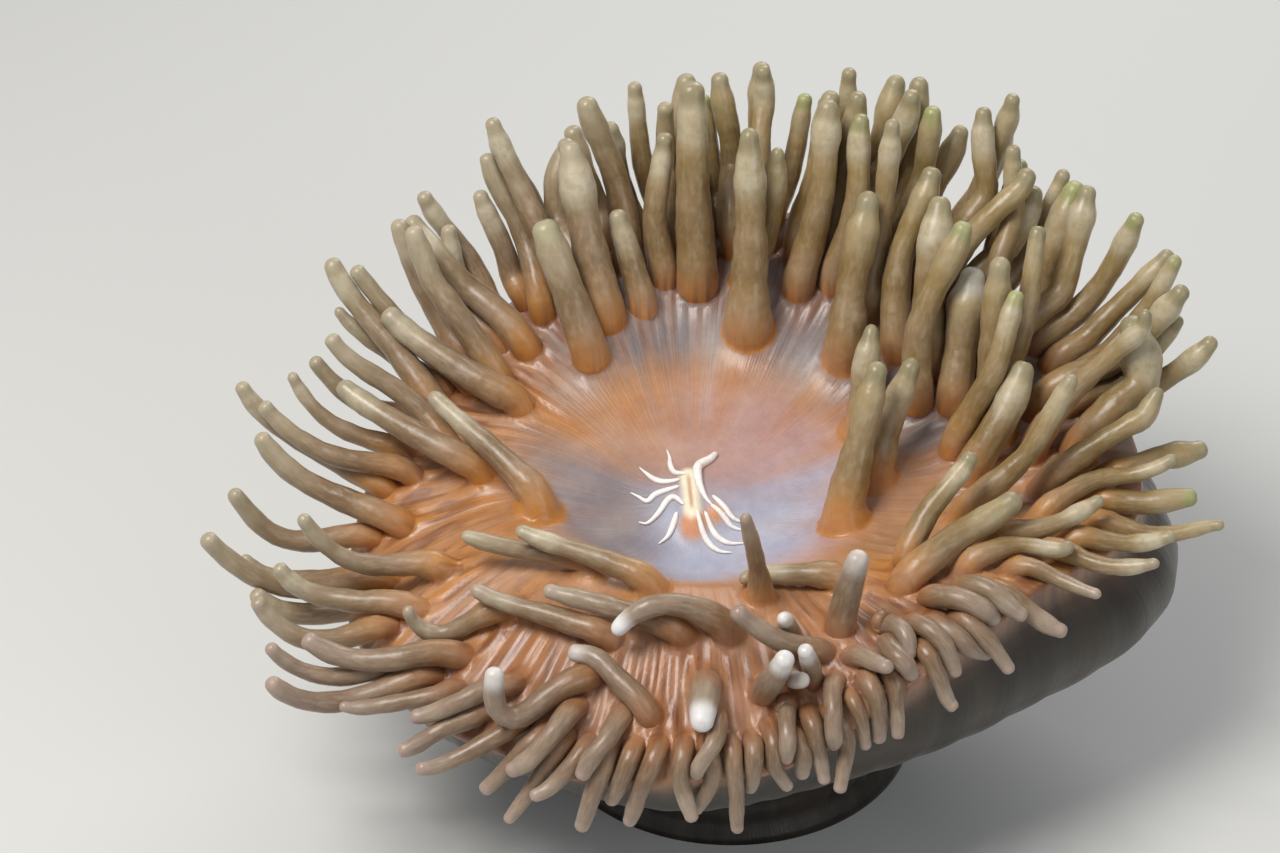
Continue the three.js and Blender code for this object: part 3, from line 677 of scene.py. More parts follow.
# Width along a tentacle, then the swell of the bulb and the loss to the nub near its tip.
SHAFT = [(0, 1.5), (0.12, 1.36), (0.3, 1.14), (0.55, 0.95), (0.8, 0.82), (1, 0.7)]
BULB = [(0, 0), (0.1, 0.05), (0.25, 0.55), (0.42, 1), (0.62, 0.6), (0.85, 0.1), (1, 0)]
NUB = [(0, 1), (0.14, 0.97), (0.26, 0.6), (0.38, 0.12), (0.5, 0), (1, 0)]
TIP_SPAN = 6.0
TIP_ROUND = 0.72
UNEVEN = 0.045
UNEVEN_RATES = {1: 1.05, 2: 0.47}

# Webs between the roots, and pleats towards the margin.
WEB = 0.8
WEB_MOST = 2.8
WEB_FALL = 0.9
WEB_FROM = 1.1
PLEATS = 96
PLEAT_DEPTH = 0.3
PLEAT_WANDER = 2.0
PLEATS_OVER = (0.4, 0.75)

# Spacing of the disc's points at the mouth, over the bare disc and among the roots.
MOUTH_STEP = 0.4
MOUTH_SPAN = 9.0
BARE_STEP = 1.15
CROWN_STEP = 0.85
CROWN_BEFORE = 0.06
CROWN_TO = 0.978
CLEAR_OF_ROOT = 0.45
PLAN_HALF = 100
MERGE_WITHIN = 1e-5

# The mouth's closed slit between two lips, with lobes beside it: place, width and height.
SLIT_LENGTH = 7.0
SLIT_WIDTH = 0.3
SLIT_DEPTH = 0.8
SLIT_TURN = 96.0
SLIT_AT = (-0.3, 1.6)
SLIT_ENDS = (0.6, 1.3)
LIP_HEIGHT = 1.1
LIP_WIDTH = 2.4
LOBES = ((0.2, -4.6, 2.6, 1.2), (4.8, -2.2, 2.0, 0.9))


def on_path(path, distance, length):
    """Places along a smooth curve through a tentacle's points."""
    steps = len(path) - 1
    place = np.clip(np.asarray(distance) / length, 0, 1) * steps
    first = np.minimum(place.astype(int), steps - 1)
    share = (place - first)[:, None]
    ends = np.concatenate([[2 * path[0] - path[1]], path, [2 * path[-1] - path[-2]]])
    return between(share, *(ends[first + k] for k in range(4)))


def root_radii(tentacles):
    """Radius of each tentacle's root, widened as far as its neighbours leave room."""
    base = np.array([t["path"][0] for t in tentacles])
    girth = np.array([t["girth"] for t in tentacles])
    away = np.linalg.norm(base[:, None, :2] - base[None, :, :2], axis=-1)
    away += FAR * np.eye(len(base))
    fair = ((away - ROOM_AT_ROOT) * girth[:, None] / (girth[:, None] + girth[None])).min(1)
    to_rim = [(1 - t["s"]) * float(around(REACH, t["angle"])) + RIM_OUT for t in tentacles]
    return np.minimum(np.minimum(fair, np.array(to_rim) - ROOM_AT_ROOT), ROOT_MOST * girth)


def mouth_relief(across):
    """Height of the closed lips and of the lobes beside them, and shares of slit, lip and lobe."""
    lobe = sum(
        high * np.exp(-((across[..., 0] - x) ** 2 + (across[..., 1] - y) ** 2) / wide ** 2)
        for x, y, wide, high in LOBES
    )
    across = across - SLIT_AT
    turn = math.radians(SLIT_TURN)
    u = across[..., 0] * math.cos(turn) + across[..., 1] * math.sin(turn)
    v = across[..., 1] * math.cos(turn) - across[..., 0] * math.sin(turn)
    half = SLIT_LENGTH / 2
    beyond = np.maximum(np.abs(u) - half, 0)
    off = np.hypot(v, beyond)
    slit = SLIT_DEPTH * np.exp(-(off / SLIT_WIDTH) ** 2)
    slit = slit * (1 - smooth(np.abs(u) / half, *SLIT_ENDS))
    lip = np.exp(-(off / LIP_WIDTH) ** 2)
    return LIP_HEIGHT * lip + lobe - slit, slit / SLIT_DEPTH, lip, np.minimum(lobe, 1)


class Disc:
    """The disc's top, with webs that rise to the roots of the tentacles, pleats and lips."""

    def __init__(self, tentacles):
        self.base = np.array([t["path"][0] for t in tentacles])
        self.girth = np.array([t["girth"] for t in tentacles])

    def closeness(self, points):
        """How near each point is to each root: 1 beside it, falling away from there."""
        away = np.linalg.norm(points[:, None] - self.base[None], axis=-1) / self.girth
        return np.exp(-np.maximum(away - WEB_FROM, 0) / WEB_FALL)

    def web(self, points):
        """Height of the web at each point, and its nearness to any root."""
        near = self.closeness(points)
        rise = WEB_MOST * np.tanh((WEB * self.girth * near).sum(1) / WEB_MOST)
        return rise, np.minimum(near.sum(1), 1)

    def at(self, plan):
        """Places on the top over points in plan, with their nearness to roots, s and angle."""
        angle, s, _ = polar(plan)
        points = disc_point(s, angle)
        normal = disc_normal(np.maximum(s, NEAREST_MOUTH), angle)
        rise, near = self.web(points)
        waves = np.sin(PLEATS * angle + PLEAT_WANDER * np.sin(7 * angle))
        pleats = PLEAT_DEPTH * waves * smooth(s, *PLEATS_OVER)
        relief = mouth_relief(plan - MOUTH[:2])[0]
        return points + normal * (rise + pleats + relief)[:, None], near, s, angle


def chain_of(t, root, rise, normal):
    """Points from root to tip with the widths that the sweep needs."""
    girth, length = t["girth"], t["length"]
    base = [rise + girth * k for k in BASE_RINGS]
    tips = [length - girth * k for k in TIP_RINGS]
    count = max(int(round((tips[0] - base[-1]) / RING_STEP)), 1)
    shaft = np.linspace(base[-1], tips[0], count + 1)[1:-1]
    distance = np.array(sorted([*base, *shaft, *tips]))
    points = on_path(t["path"], distance, length)
    astray = t["path"][0] + rise * normal - points[0]
    held = 1 - smooth((distance - distance[0]) / girth, 0, ROOT_HELD_TO)
    chance = t["chance"]
    uneven = sum(np.sin(rate * distance + 9 * chance[k]) for k, rate in UNEVEN_RATES.items())
    return {
        "points": points + held[:, None] * astray,
        "girth": girth * (1 + UNEVEN * uneven),
        "root": root,
        "height": (distance - distance[0]) / girth,
        "fall": -(ROOT_FALL if root > girth * SHAFT[0][1] else CROWDED_FALL),
        "along": distance / length,
        "tip": (length - distance) / girth,
        "bulb": t["bulb"],
        "nub": t["nub"],
    }


def turned_roots(tube, chain, normal):
    """The first rings turned to lie along the disc, so that a slanting root grows out of it."""
    points, height = chain["points"], chain["height"]
    way = np.gradient(points, axis=0)
    way = way / np.linalg.norm(way, axis=1, keepdims=True)
    upright = (way @ normal)[:, None, None]
    axis = np.cross(way, normal)[:, None]
    offset = tube - points[:, None]
    along_axis = axis * (offset * axis).sum(-1, keepdims=True) / (1 + upright)
    flat = upright * offset + np.cross(axis, offset) + along_axis
    share = (1 - smooth(height, 0, ROOT_TURNED_TO))[:, None, None]
    ring = points[:, None] + share * flat + (1 - share) * offset
    lift = (ring - points[0]) @ normal
    lack = np.maximum(ROOT_LIFT * (chain["girth"] * height)[:, None] - lift, 0)
    lack = lack * (1 - smooth(height, *ROOT_LIFT_OVER))[:, None]
    return ring + lack[..., None] * normal


def fill_points(base, root):
    """A hexagonal spread of points over the disc, closest at the mouth, clear of the roots."""
    spread = []
    for step, wanted in (
        (MOUTH_STEP, lambda r, s, bare: r < MOUTH_SPAN),
        (BARE_STEP, lambda r, s, bare: (r >= MOUTH_SPAN) & (s < bare)),
        (CROWN_STEP, lambda r, s, bare: (r >= MOUTH_SPAN) & (s >= bare) & (s < CROWN_TO)),
    ):
        rows = np.arange(-PLAN_HALF, PLAN_HALF, step * math.sqrt(0.75))
        columns = np.arange(-PLAN_HALF, PLAN_HALF, step)
        x, y = np.meshgrid(columns, rows)
        x = x + 0.5 * step * (np.arange(len(rows)) % 2)[:, None]
        across = np.stack([x.ravel(), y.ravel()], -1)
        angle = np.arctan2(across[:, 1], across[:, 0])
        r = np.hypot(across[:, 0], across[:, 1])
        s = r / around(REACH, angle)
        across = across[wanted(r, s, around(BARE, angle) - CROWN_BEFORE)]
        plan = across + MOUTH[:2]
        gap = np.linalg.norm(plan[:, None] - base[None, :, :2], axis=-1) - root
        spread.append(plan[gap.min(1) > CLEAR_OF_ROOT * step])
    return np.concatenate(spread)


def triangulate(rings, rim, inside):
    """Triangles over the plan between the rim and the rings of roots, as indices into one list."""
    plan = np.concatenate([rings.reshape(-1, 2), rim, inside])
    loops = [np.arange(len(ring)) + k * SIDES for k, ring in enumerate(rings)]
    loops.append(np.arange(len(rim)) + len(rings) * SIDES)
    edges = [(int(a), int(b)) for loop in loops for a, b in zip(loop, np.roll(loop, -1))]
    points = [Vector(point) for point in plan]
    _, _, faces, origin, _, _ = delaunay_2d_cdt(points, edges, [], 0, MERGE_WITHIN)
    owner = np.full(len(plan), -1)
    for k, loop in enumerate(loops):
        owner[loop] = k
    faces = np.array([[origin[v][0] for v in face] for face in faces])
    same = (owner[faces[:, 0]] >= 0) & (owner[faces] == owner[faces[:, :1]]).all(1)
    return plan, faces[~same]


# The rolled rim, then the column below it with upright furrows and folds, then the sole.
RIM_OUT = 1.6
RIM_ROWS = 5
RIM_ROLL_OUT = 0.9
RIM_ROLL_UNDER = 1.4
RIM_LEAD = 0.03
COLUMN_TOP = 0.96
COLUMN_LEAD = 0.02
COLUMN_ROWS = 40
FURROWS = 48
FURROW_DEPTH = 0.22
FURROWS_FROM = (0, 6)
FOLD_DEPTH = 0.55
FOLD_PITCH = 5.5
FOLD_AT = 12.0
FOLD_SPAN = 8
FOLDS_FROM = (0, 3)
SOLE_SHARES = (0.97, 0.75, 0.4)


def side_rows(edge, angle):
    """Rings of points from the disc's rim over its rolled edge and down the column to the sole."""
    level = np.stack([np.cos(angle), np.sin(angle)], -1)

    def ring(out, z):
        plan = MOUTH[:2] + out[:, None] * level
        return np.column_stack([plan, z])

    start = np.hypot(*(edge[:, :2] - MOUTH[:2]).T), edge[:, 2]
    slope = disc_point(1 + RIM_LEAD, angle) - disc_point(1.0, angle)
    slope = np.hypot(slope[:, 0], slope[:, 1]), slope[:, 2]
    end = column_profile(COLUMN_TOP, angle)
    above = column_profile(COLUMN_TOP + COLUMN_LEAD, angle)
    rows = []
    for k in range(1, RIM_ROWS + 1):
        t = k / (RIM_ROWS + 1)
        rows.append(ring(*(
            bezier(t, a, a + RIM_ROLL_OUT * b, c + RIM_ROLL_UNDER * (d - c), c)
            for a, b, c, d in zip(start, slope, end, above)
        )))
    for t in np.linspace(COLUMN_TOP, 0, COLUMN_ROWS):
        out, z = column_profile(t, angle)
        z = np.broadcast_to(z, angle.shape)
        furrow = FURROW_DEPTH * np.sin(FURROWS * angle) * smooth(z, *FURROWS_FROM)
        fold = FOLD_DEPTH * np.sin(TURN * z / FOLD_PITCH + 1.5 * np.sin(3 * angle))
        fold = fold * np.exp(-((z - FOLD_AT) / FOLD_SPAN) ** 2) * smooth(z, *FOLDS_FROM)
        rows.append(ring(out + furrow + fold, z))
    for share in SOLE_SHARES:
        rows.append(ring(share * foot_reach(angle), np.zeros_like(angle)))
    return rows


FAR_FROM_TIP = 9.0

# Facts stored at each point, with their usual values: share of tentacle in the surface, place
# along the tentacle, distance from its tip in radii, nearness to roots, share of column, way out
# on the disc, painted bluish sheen, slit, lips, lobes, warm stream, the tentacle's own chances,
# and places on the streaks round it and on the lines that spread from the mouth.
USUAL_FACTS = {
    "tent": 0.0,
    "along": 0.0,
    "tip": FAR_FROM_TIP,
    "near": 0.0,
    "stalk": 0.0,
    "outness": 0.0,
    "painted_sheen": 0.0,
    "mouth": 0.0,
    "lip": 0.0,
    "lobe": 0.0,
    "stream": 0.0,
    "chance": (0.0, 0.0, 0.0),
    "turn": (0.0, 0.0, 0.0),
    "spoke": (0.0, 0.0, 0.0),
}
FLESH_OVER = (0, 2.2)
SPOKE_RISE = 0.3
WRAP_APART = 10.0
WRAP_RISE = 0.12


def bands(upper, lower):
    """Quads between two closed rings of indices."""
    return np.stack([upper, lower, np.roll(lower, -1), np.roll(upper, -1)], -1)


class Skin:
    """Gathers the skin's points, the faces between them, and the facts stored at each point."""

    def __init__(self):
        self.count = 0
        self.points, self.triangles, self.quads = [], [], []
        self.facts = {key: [] for key in USUAL_FACTS}

    def add(self, points, given):
        """Adds points, with the usual value of any fact not given. Returns the first's index."""
        first = self.count
        self.points.append(points)
        self.count += len(points)
        for key, usual in USUAL_FACTS.items():
            shape = (len(points), *np.shape(usual))
            self.facts[key].append(np.broadcast_to(given.get(key, usual), shape))
        return first

    def close(self, loop, pole):
        """Closes a ring of points with a fan to one more."""
        fan = [loop, np.roll(loop, -1), np.full(len(loop), pole)]
        self.triangles.append(np.stack(fan, -1))

    def result(self):
        """All the points in metres, the faces of three and of four corners, and the facts."""
        shapes = [np.concatenate(faces).astype(int) for faces in (self.triangles, self.quads)]
        facts = {key: np.concatenate(values) for key, values in self.facts.items()}
        return np.concatenate(self.points) * MM, shapes, facts


def spokes(angle, s):
    """Where a point is on the disc's radial lines: round the mouth, and a little outward."""
    return np.column_stack([np.cos(angle), np.sin(angle), SPOKE_RISE * s + 0 * angle])


def wraps(k, ahead):
    """Where the points of tentacle k's rings are on its streaks: round it, and a little ahead."""
    angle = np.arange(SIDES) * TURN / SIDES
    rings = np.tile(np.column_stack([np.cos(angle), np.sin(angle)]), (len(ahead), 1))
    return np.column_stack([rings, np.repeat(WRAP_APART * k + WRAP_RISE * ahead, SIDES)])


def own_chance(t):
    """What sets a tentacle's colours apart: two draws from 0 to 1, and how strong the painted white
    highlight on its tip is.
    """
    return [0.5 + 0.5 * t["chance"][7], 0.5 + 0.5 * t["chance"][0], t["frost"]]


def add_top(skin, disc, tentacles, plan):
    """The disc's top. Its first points are the rings of the tentacles' roots."""
    places, near, s, angle = disc.at(plan)
    relief = mouth_relief(plan - MOUTH[:2])
    chance = np.zeros((len(plan), 3))
    turn = np.zeros((len(plan), 3))
    roots = len(tentacles) * SIDES
    chance[:roots] = np.repeat([own_chance(t) for t in tentacles], SIDES, axis=0)
    turn[:roots] = np.concatenate([wraps(k, np.zeros(1)) for k in range(len(tentacles))])
    skin.add(places, {
        "near": near,
        "outness": s,
        # painted bluish sheen, a reflection of blue light
        "painted_sheen": painted_sheen_at(plan),
        "mouth": relief[1],
        "lip": relief[2],
        "lobe": relief[3],
        "stream": stream_at(disc, plan),
        "chance": chance,
        "turn": turn,
        "spoke": spokes(angle, s),
    })
    return places


def add_tentacle(skin, k, t, chain, tube):
    """The rings of one tentacle above its root's ring, closed at the tip."""
    def per_point(values):
        return np.append(np.repeat(values[1:], SIDES), values[-1])

    rings = tube[1:]
    body = rings.reshape(-1, 3)
    angle = polar(body)[0]
    turn = wraps(k, chain["along"][1:] * t["length"])
    first = skin.add(np.append(body, chain["points"][-1:], 0), {
        "tent": per_point(smooth(chain["height"], *FLESH_OVER)),
        "along": per_point(chain["along"]),
        "tip": per_point(np.minimum(chain["tip"], FAR_FROM_TIP)),
        "near": 1.0,
        "outness": t["s"],
        "chance": own_chance(t),
        "turn": np.append(turn, [[0, 0, turn[-1, 2]]], 0),
        "spoke": spokes(np.append(angle, angle[-1]), t["s"]),
    })
    ring = np.arange(SIDES)
    loops = [k * SIDES + ring] + [first + r * SIDES + ring for r in range(len(rings))]
    skin.quads += [bands(lower, upper) for upper, lower in zip(loops[1:], loops)]
    skin.close(loops[-1], first + len(body))


def add_side(skin, edge, first, turn):
    """The rolled rim, the column and the sole, down from the disc's edge."""
    ring = np.arange(SPOKES)
    loops = [first + ring]
    spoke = spokes(turn, 1.0)
    for k, row in enumerate(side_rows(edge, turn)):
        stalk = smooth(k, -1, RIM_ROWS + 2)
        loops.append(skin.add(row, {"stalk": stalk, "outness": 1.0, "spoke": spoke}) + ring)
    skin.quads += [bands(lower, upper)[:, ::-1] for upper, lower in zip(loops, loops[1:])]
    middle = np.array([[MOUTH[0], MOUTH[1], 0.0]])
    pole = skin.add(middle, {"stalk": 1.0, "outness": 1.0, "spoke": spoke[:1]})
    skin.close(loops[-1][::-1], pole)


def grow_skin(tentacles, material):
    """One closed skin over the disc, every tentacle and the column, with its surface's facts."""
    disc = Disc(tentacles)
    root = root_radii(tentacles)
    corners = [way * side for side in (1, -1) for way in np.eye(3)[:2]]
    rise = np.mean([disc.web(disc.base + root[:, None] * way)[0] for way in corners], 0)
    normal = np.array([disc_normal(t["s"], t["angle"]) for t in tentacles])
    chains = [chain_of(*given) for given in zip(tentacles, root, rise, normal)]
    tubes = swept_tubes("tentacle_paths", chains, SIDES, material)
    tubes = [turned_roots(*given) for given in zip(tubes, chains, normal)]
    feet = np.array([tube[0] for tube in tubes]) - (normal * rise[:, None])[:, None]
    turn = np.arange(SPOKES) * TURN / SPOKES
    rim = disc_point(1 + RIM_OUT / around(REACH, turn), turn)[:, :2]
    plan, faces = triangulate(feet[:, :, :2], rim, fill_points(disc.base, root))

    skin = Skin()
    skin.triangles.append(faces)
    places = add_top(skin, disc, tentacles, plan)
    for k, given in enumerate(zip(tentacles, chains, tubes)):
        add_tentacle(skin, k, *given)
    first = len(tentacles) * SIDES
    add_side(skin, places[first:first + SPOKES], first, turn)
    return skin.result()


# The painted bluish sheen, a reflection of blue light painted into the disc's colour: how far to
# the -Y side its crescent lies, with its half width and half depth, the place and spans of the
# patch on the -X side, and how the far margin's begins, outward and round.
CRESCENT = (9.0, 25.0, 12.5)
LEFT_PATCH = (-17, 3, 12, 9)
LEFT_SHEEN = 0.55
FAR_PATCH_OUT = (0.42, 0.6)
FAR_PATCH_ROUND = (0.1, 0.7)
FAR_PATCH_TURN = 0.35
FAR_SHEEN = 0.9

# The warm streams: their width in radii of the root, and how far they run before they narrow and
# fade.
STREAM_WIDTH = 1.4
STREAM_NARROWS = 22
STREAM_FADES = 14


def painted_sheen_at(plan):
    """Where the disc carries the painted bluish sheen: a crescent on the mouth's -Y side, more on
    its -X side, and out by the far margin."""
    x, y = (plan - MOUTH[:2]).T
    low, half_width, half_depth = CRESCENT
    aside = x / half_width
    ahead = (y + low - low * aside ** 2) / half_depth
    near_side = np.exp(-(0.3 * aside ** 4 + ahead ** 4))
    left, rear, wide, deep = LEFT_PATCH
    left_side = np.exp(-((x - left) / wide) ** 2 - ((y - rear) / deep) ** 2)
    angle, s, _ = polar(plan)
    round_far = smooth(np.sin(angle + FAR_PATCH_TURN), *FAR_PATCH_ROUND)
    far_side = smooth(s, *FAR_PATCH_OUT) * round_far
    return np.clip(near_side + LEFT_SHEEN * left_side + FAR_SHEEN * far_side, 0, 1)


def stream_at(disc, plan):
    """Share of the warm streams that run from the roots of the inner tentacles to the mouth."""
    share = np.zeros(len(plan))
    across = plan - MOUTH[:2]
    for base, girth in zip(disc.base[:, :2] - MOUTH[:2], disc.girth):
        far = np.hypot(*base)
        inward = far - across @ base / far
        aside = np.abs(across @ np.array([-base[1], base[0]])) / far
        gone = np.maximum(inward, 0)
        wide = STREAM_WIDTH * girth * np.exp(-gone / STREAM_NARROWS)
        share += np.exp(-(aside / wide) ** 2 - gone / STREAM_FADES) * (inward > 0)
    return np.minimum(share, 1)


def solid_mesh(name, points, shapes, facts, material):
    """A smooth mesh from points and faces, with a stored value or vector at each point."""
    mesh = bpy.data.meshes.new(name)
    mesh.vertices.add(len(points))
    mesh.vertices.foreach_set("co", points.ravel())
    corners = np.concatenate([shape.ravel() for shape in shapes])
    sizes = np.concatenate([np.full(len(shape), shape.shape[1]) for shape in shapes])
    mesh.loops.add(len(corners))
    mesh.loops.foreach_set("vertex_index", corners)
    mesh.polygons.add(len(sizes))
    mesh.polygons.foreach_set("loop_start", np.concatenate([[0], np.cumsum(sizes)[:-1]]))
    mesh.update(calc_edges=True)
    for key, values in facts.items():
        kind = "FLOAT_VECTOR" if values.ndim > 1 else "FLOAT"
        field = "vector" if values.ndim > 1 else "value"
        mesh.attributes.new(key, kind, "POINT").data.foreach_set(field, values.ravel())
    mesh.validate()
    tidy = bmesh.new()
    tidy.from_mesh(mesh)
    bmesh.ops.delete(tidy, geom=[v for v in tidy.verts if not v.link_faces], context="VERTS")
    bmesh.ops.recalc_face_normals(tidy, faces=tidy.faces)
    tidy.to_mesh(mesh)
    tidy.free()
    mesh.shade_smooth()
    mesh.materials.clear()
    mesh.materials.append(material)
    piece = bpy.data.objects.new(name, mesh)
    bpy.context.scene.collection.objects.link(piece)
    return piece


# ------------------------------------------------------------------ flesh

def colour(red, green, blue):
    """A colour given as it is seen, from 0 to 255, as linear light."""
    shares = [v / 255 for v in (red, green, blue)]
    return (*(v / 12.92 if v <= 0.04045 else ((v + 0.055) / 1.055) ** 2.4 for v in shares), 1.0)


class Paint:
    """A material's node tree, with short ways to read the skin's facts and to mix colours."""

    def __init__(self, name):
        self.material = bpy.data.materials.new(name)
        self.material.use_nodes = True
        self.tree = self.material.node_tree
        self.shader = self.tree.nodes["Principled BSDF"]
        self.place = add_node(self.tree, "ShaderNodeTexCoord").outputs["Object"]

    def fact(self, name, output="Fac"):
        """A fact stored at the skin's points."""
        return add_node(self.tree, "ShaderNodeAttribute", attribute_name=name).outputs[output]

    def do(self, operation, *values):
        return calculate(self.tree, operation, *values)

    def product(self, first, *others):
        """All the values multiplied together."""
        for other in others:
            first = self.do("MULTIPLY", first, other)
        return first

    def ramp(self, value, low, high, start=0.0, end=1.0):
        """A value taken smoothly from one span to another."""
        made = add_node(self.tree, "ShaderNodeMapRange", {
            "Value": value, "From Min": low, "From Max": high, "To Min": start, "To Max": end,
        }, interpolation_type="SMOOTHSTEP")
        return made.outputs["Result"]

    def blend(self, share, under, over):
        """One colour over another, by a share from 0 to 1."""
        made = add_node(self.tree, "ShaderNodeMix", data_type="RGBA")
        for key, value in (("Factor_Float", share), ("A_Color", under), ("B_Color", over)):
            socket = next(s for s in made.inputs if s.identifier == key)
            if isinstance(value, bpy.types.NodeSocket):
                self.tree.links.new(value, socket)
            else:
                socket.default_value = value
        return next(s for s in made.outputs if s.identifier == "Result_Color")

    def noise(self, scale, vector=None, detail=2.0, roughness=0.5):
        """Cloudy noise over the piece's own place, or over another vector."""
        made = add_node(self.tree, "ShaderNodeTexNoise", {
            "Vector": vector or self.place, "Scale": scale, "Detail": detail,
            "Roughness": roughness,
        })
        return made.outputs["Fac"]

    def bump(self, height, distance, strength, normal=None):
        """Relief by a height, over the relief before it."""
        inputs = {"Height": height, "Distance": distance, "Strength": strength}
        if normal is not None:
            inputs["Normal"] = normal
        return add_node(self.tree, "ShaderNodeBump", inputs).outputs["Normal"]

    def finish(self, base, normal, **settings):
        """The finished material, with the shader's other inputs set by name."""
        self.tree.links.new(base, self.shader.inputs["Base Color"])
        self.tree.links.new(normal, self.shader.inputs["Normal"])
        for name, value in settings.items():
            socket = self.shader.inputs[name.replace("_", " ")]
            if isinstance(value, bpy.types.NodeSocket):
                self.tree.links.new(value, socket)
            else:
                socket.default_value = value
        return self.material


SALMON = colour(172, 124, 86)
PINK = colour(194, 164, 172)
ORANGE = colour(188, 122, 48)
OCHRE = colour(158, 112, 62)
# Painted bluish sheen on the disc: lavender, grey on the -X side, blue-grey by the margin.
SHEEN_PAINT_LAVENDER = colour(168, 178, 202)
SHEEN_PAINT_GREY = colour(124, 120, 128)
SHEEN_PAINT_BLUE_GREY = colour(106, 126, 142)
STREAK = colour(208, 180, 164)
PLEAT_BROWN = colour(122, 70, 40)
# Painted shade: brown over the front apron.
APRON_SHADE_BROWN = colour(150, 104, 80)
ROOT_ORANGE = colour(198, 144, 82)
ROOT_BROWN = colour(146, 98, 54)
ROOT_OLIVE = colour(160, 138, 104)
OLIVE = colour(132, 106, 60)
TAN = colour(156, 134, 84)
MAUVE = colour(122, 96, 74)
ASH = colour(150, 136, 116)
# Painted shade: mauve-grey tentacle ends at the front.
SHADED_ASH_MAUVE = colour(136, 112, 98)
CREAM = colour(206, 200, 176)
# Painted white highlight on some tips.
TIP_HIGHLIGHT_WHITE = colour(238, 240, 240)
NUB_OLIVE = colour(148, 142, 112)
NUB_PALE = colour(184, 174, 152)
# Painted shade: mauve nubs at the front.
SHADED_NUB_MAUVE = colour(166, 146, 134)
NUB_GREEN = colour(156, 166, 108)
# Painted shade: the column's dark colours, with paler stripes.
SHADED_COLUMN_DARK = colour(28, 21, 12)
SHADED_COLUMN_PALE = colour(48, 38, 24)
LIP_CREAM = colour(246, 234, 208)
LOBE_ORANGE = colour(214, 150, 108)
GULLET = colour(206, 158, 116)
CLOUD_PALE = colour(255, 236, 214)
MOTTLE_BROWN = colour(90, 60, 30)
RIB_WHITE = colour(255, 253, 250)
RIB_ROSY = colour(244, 232, 226)


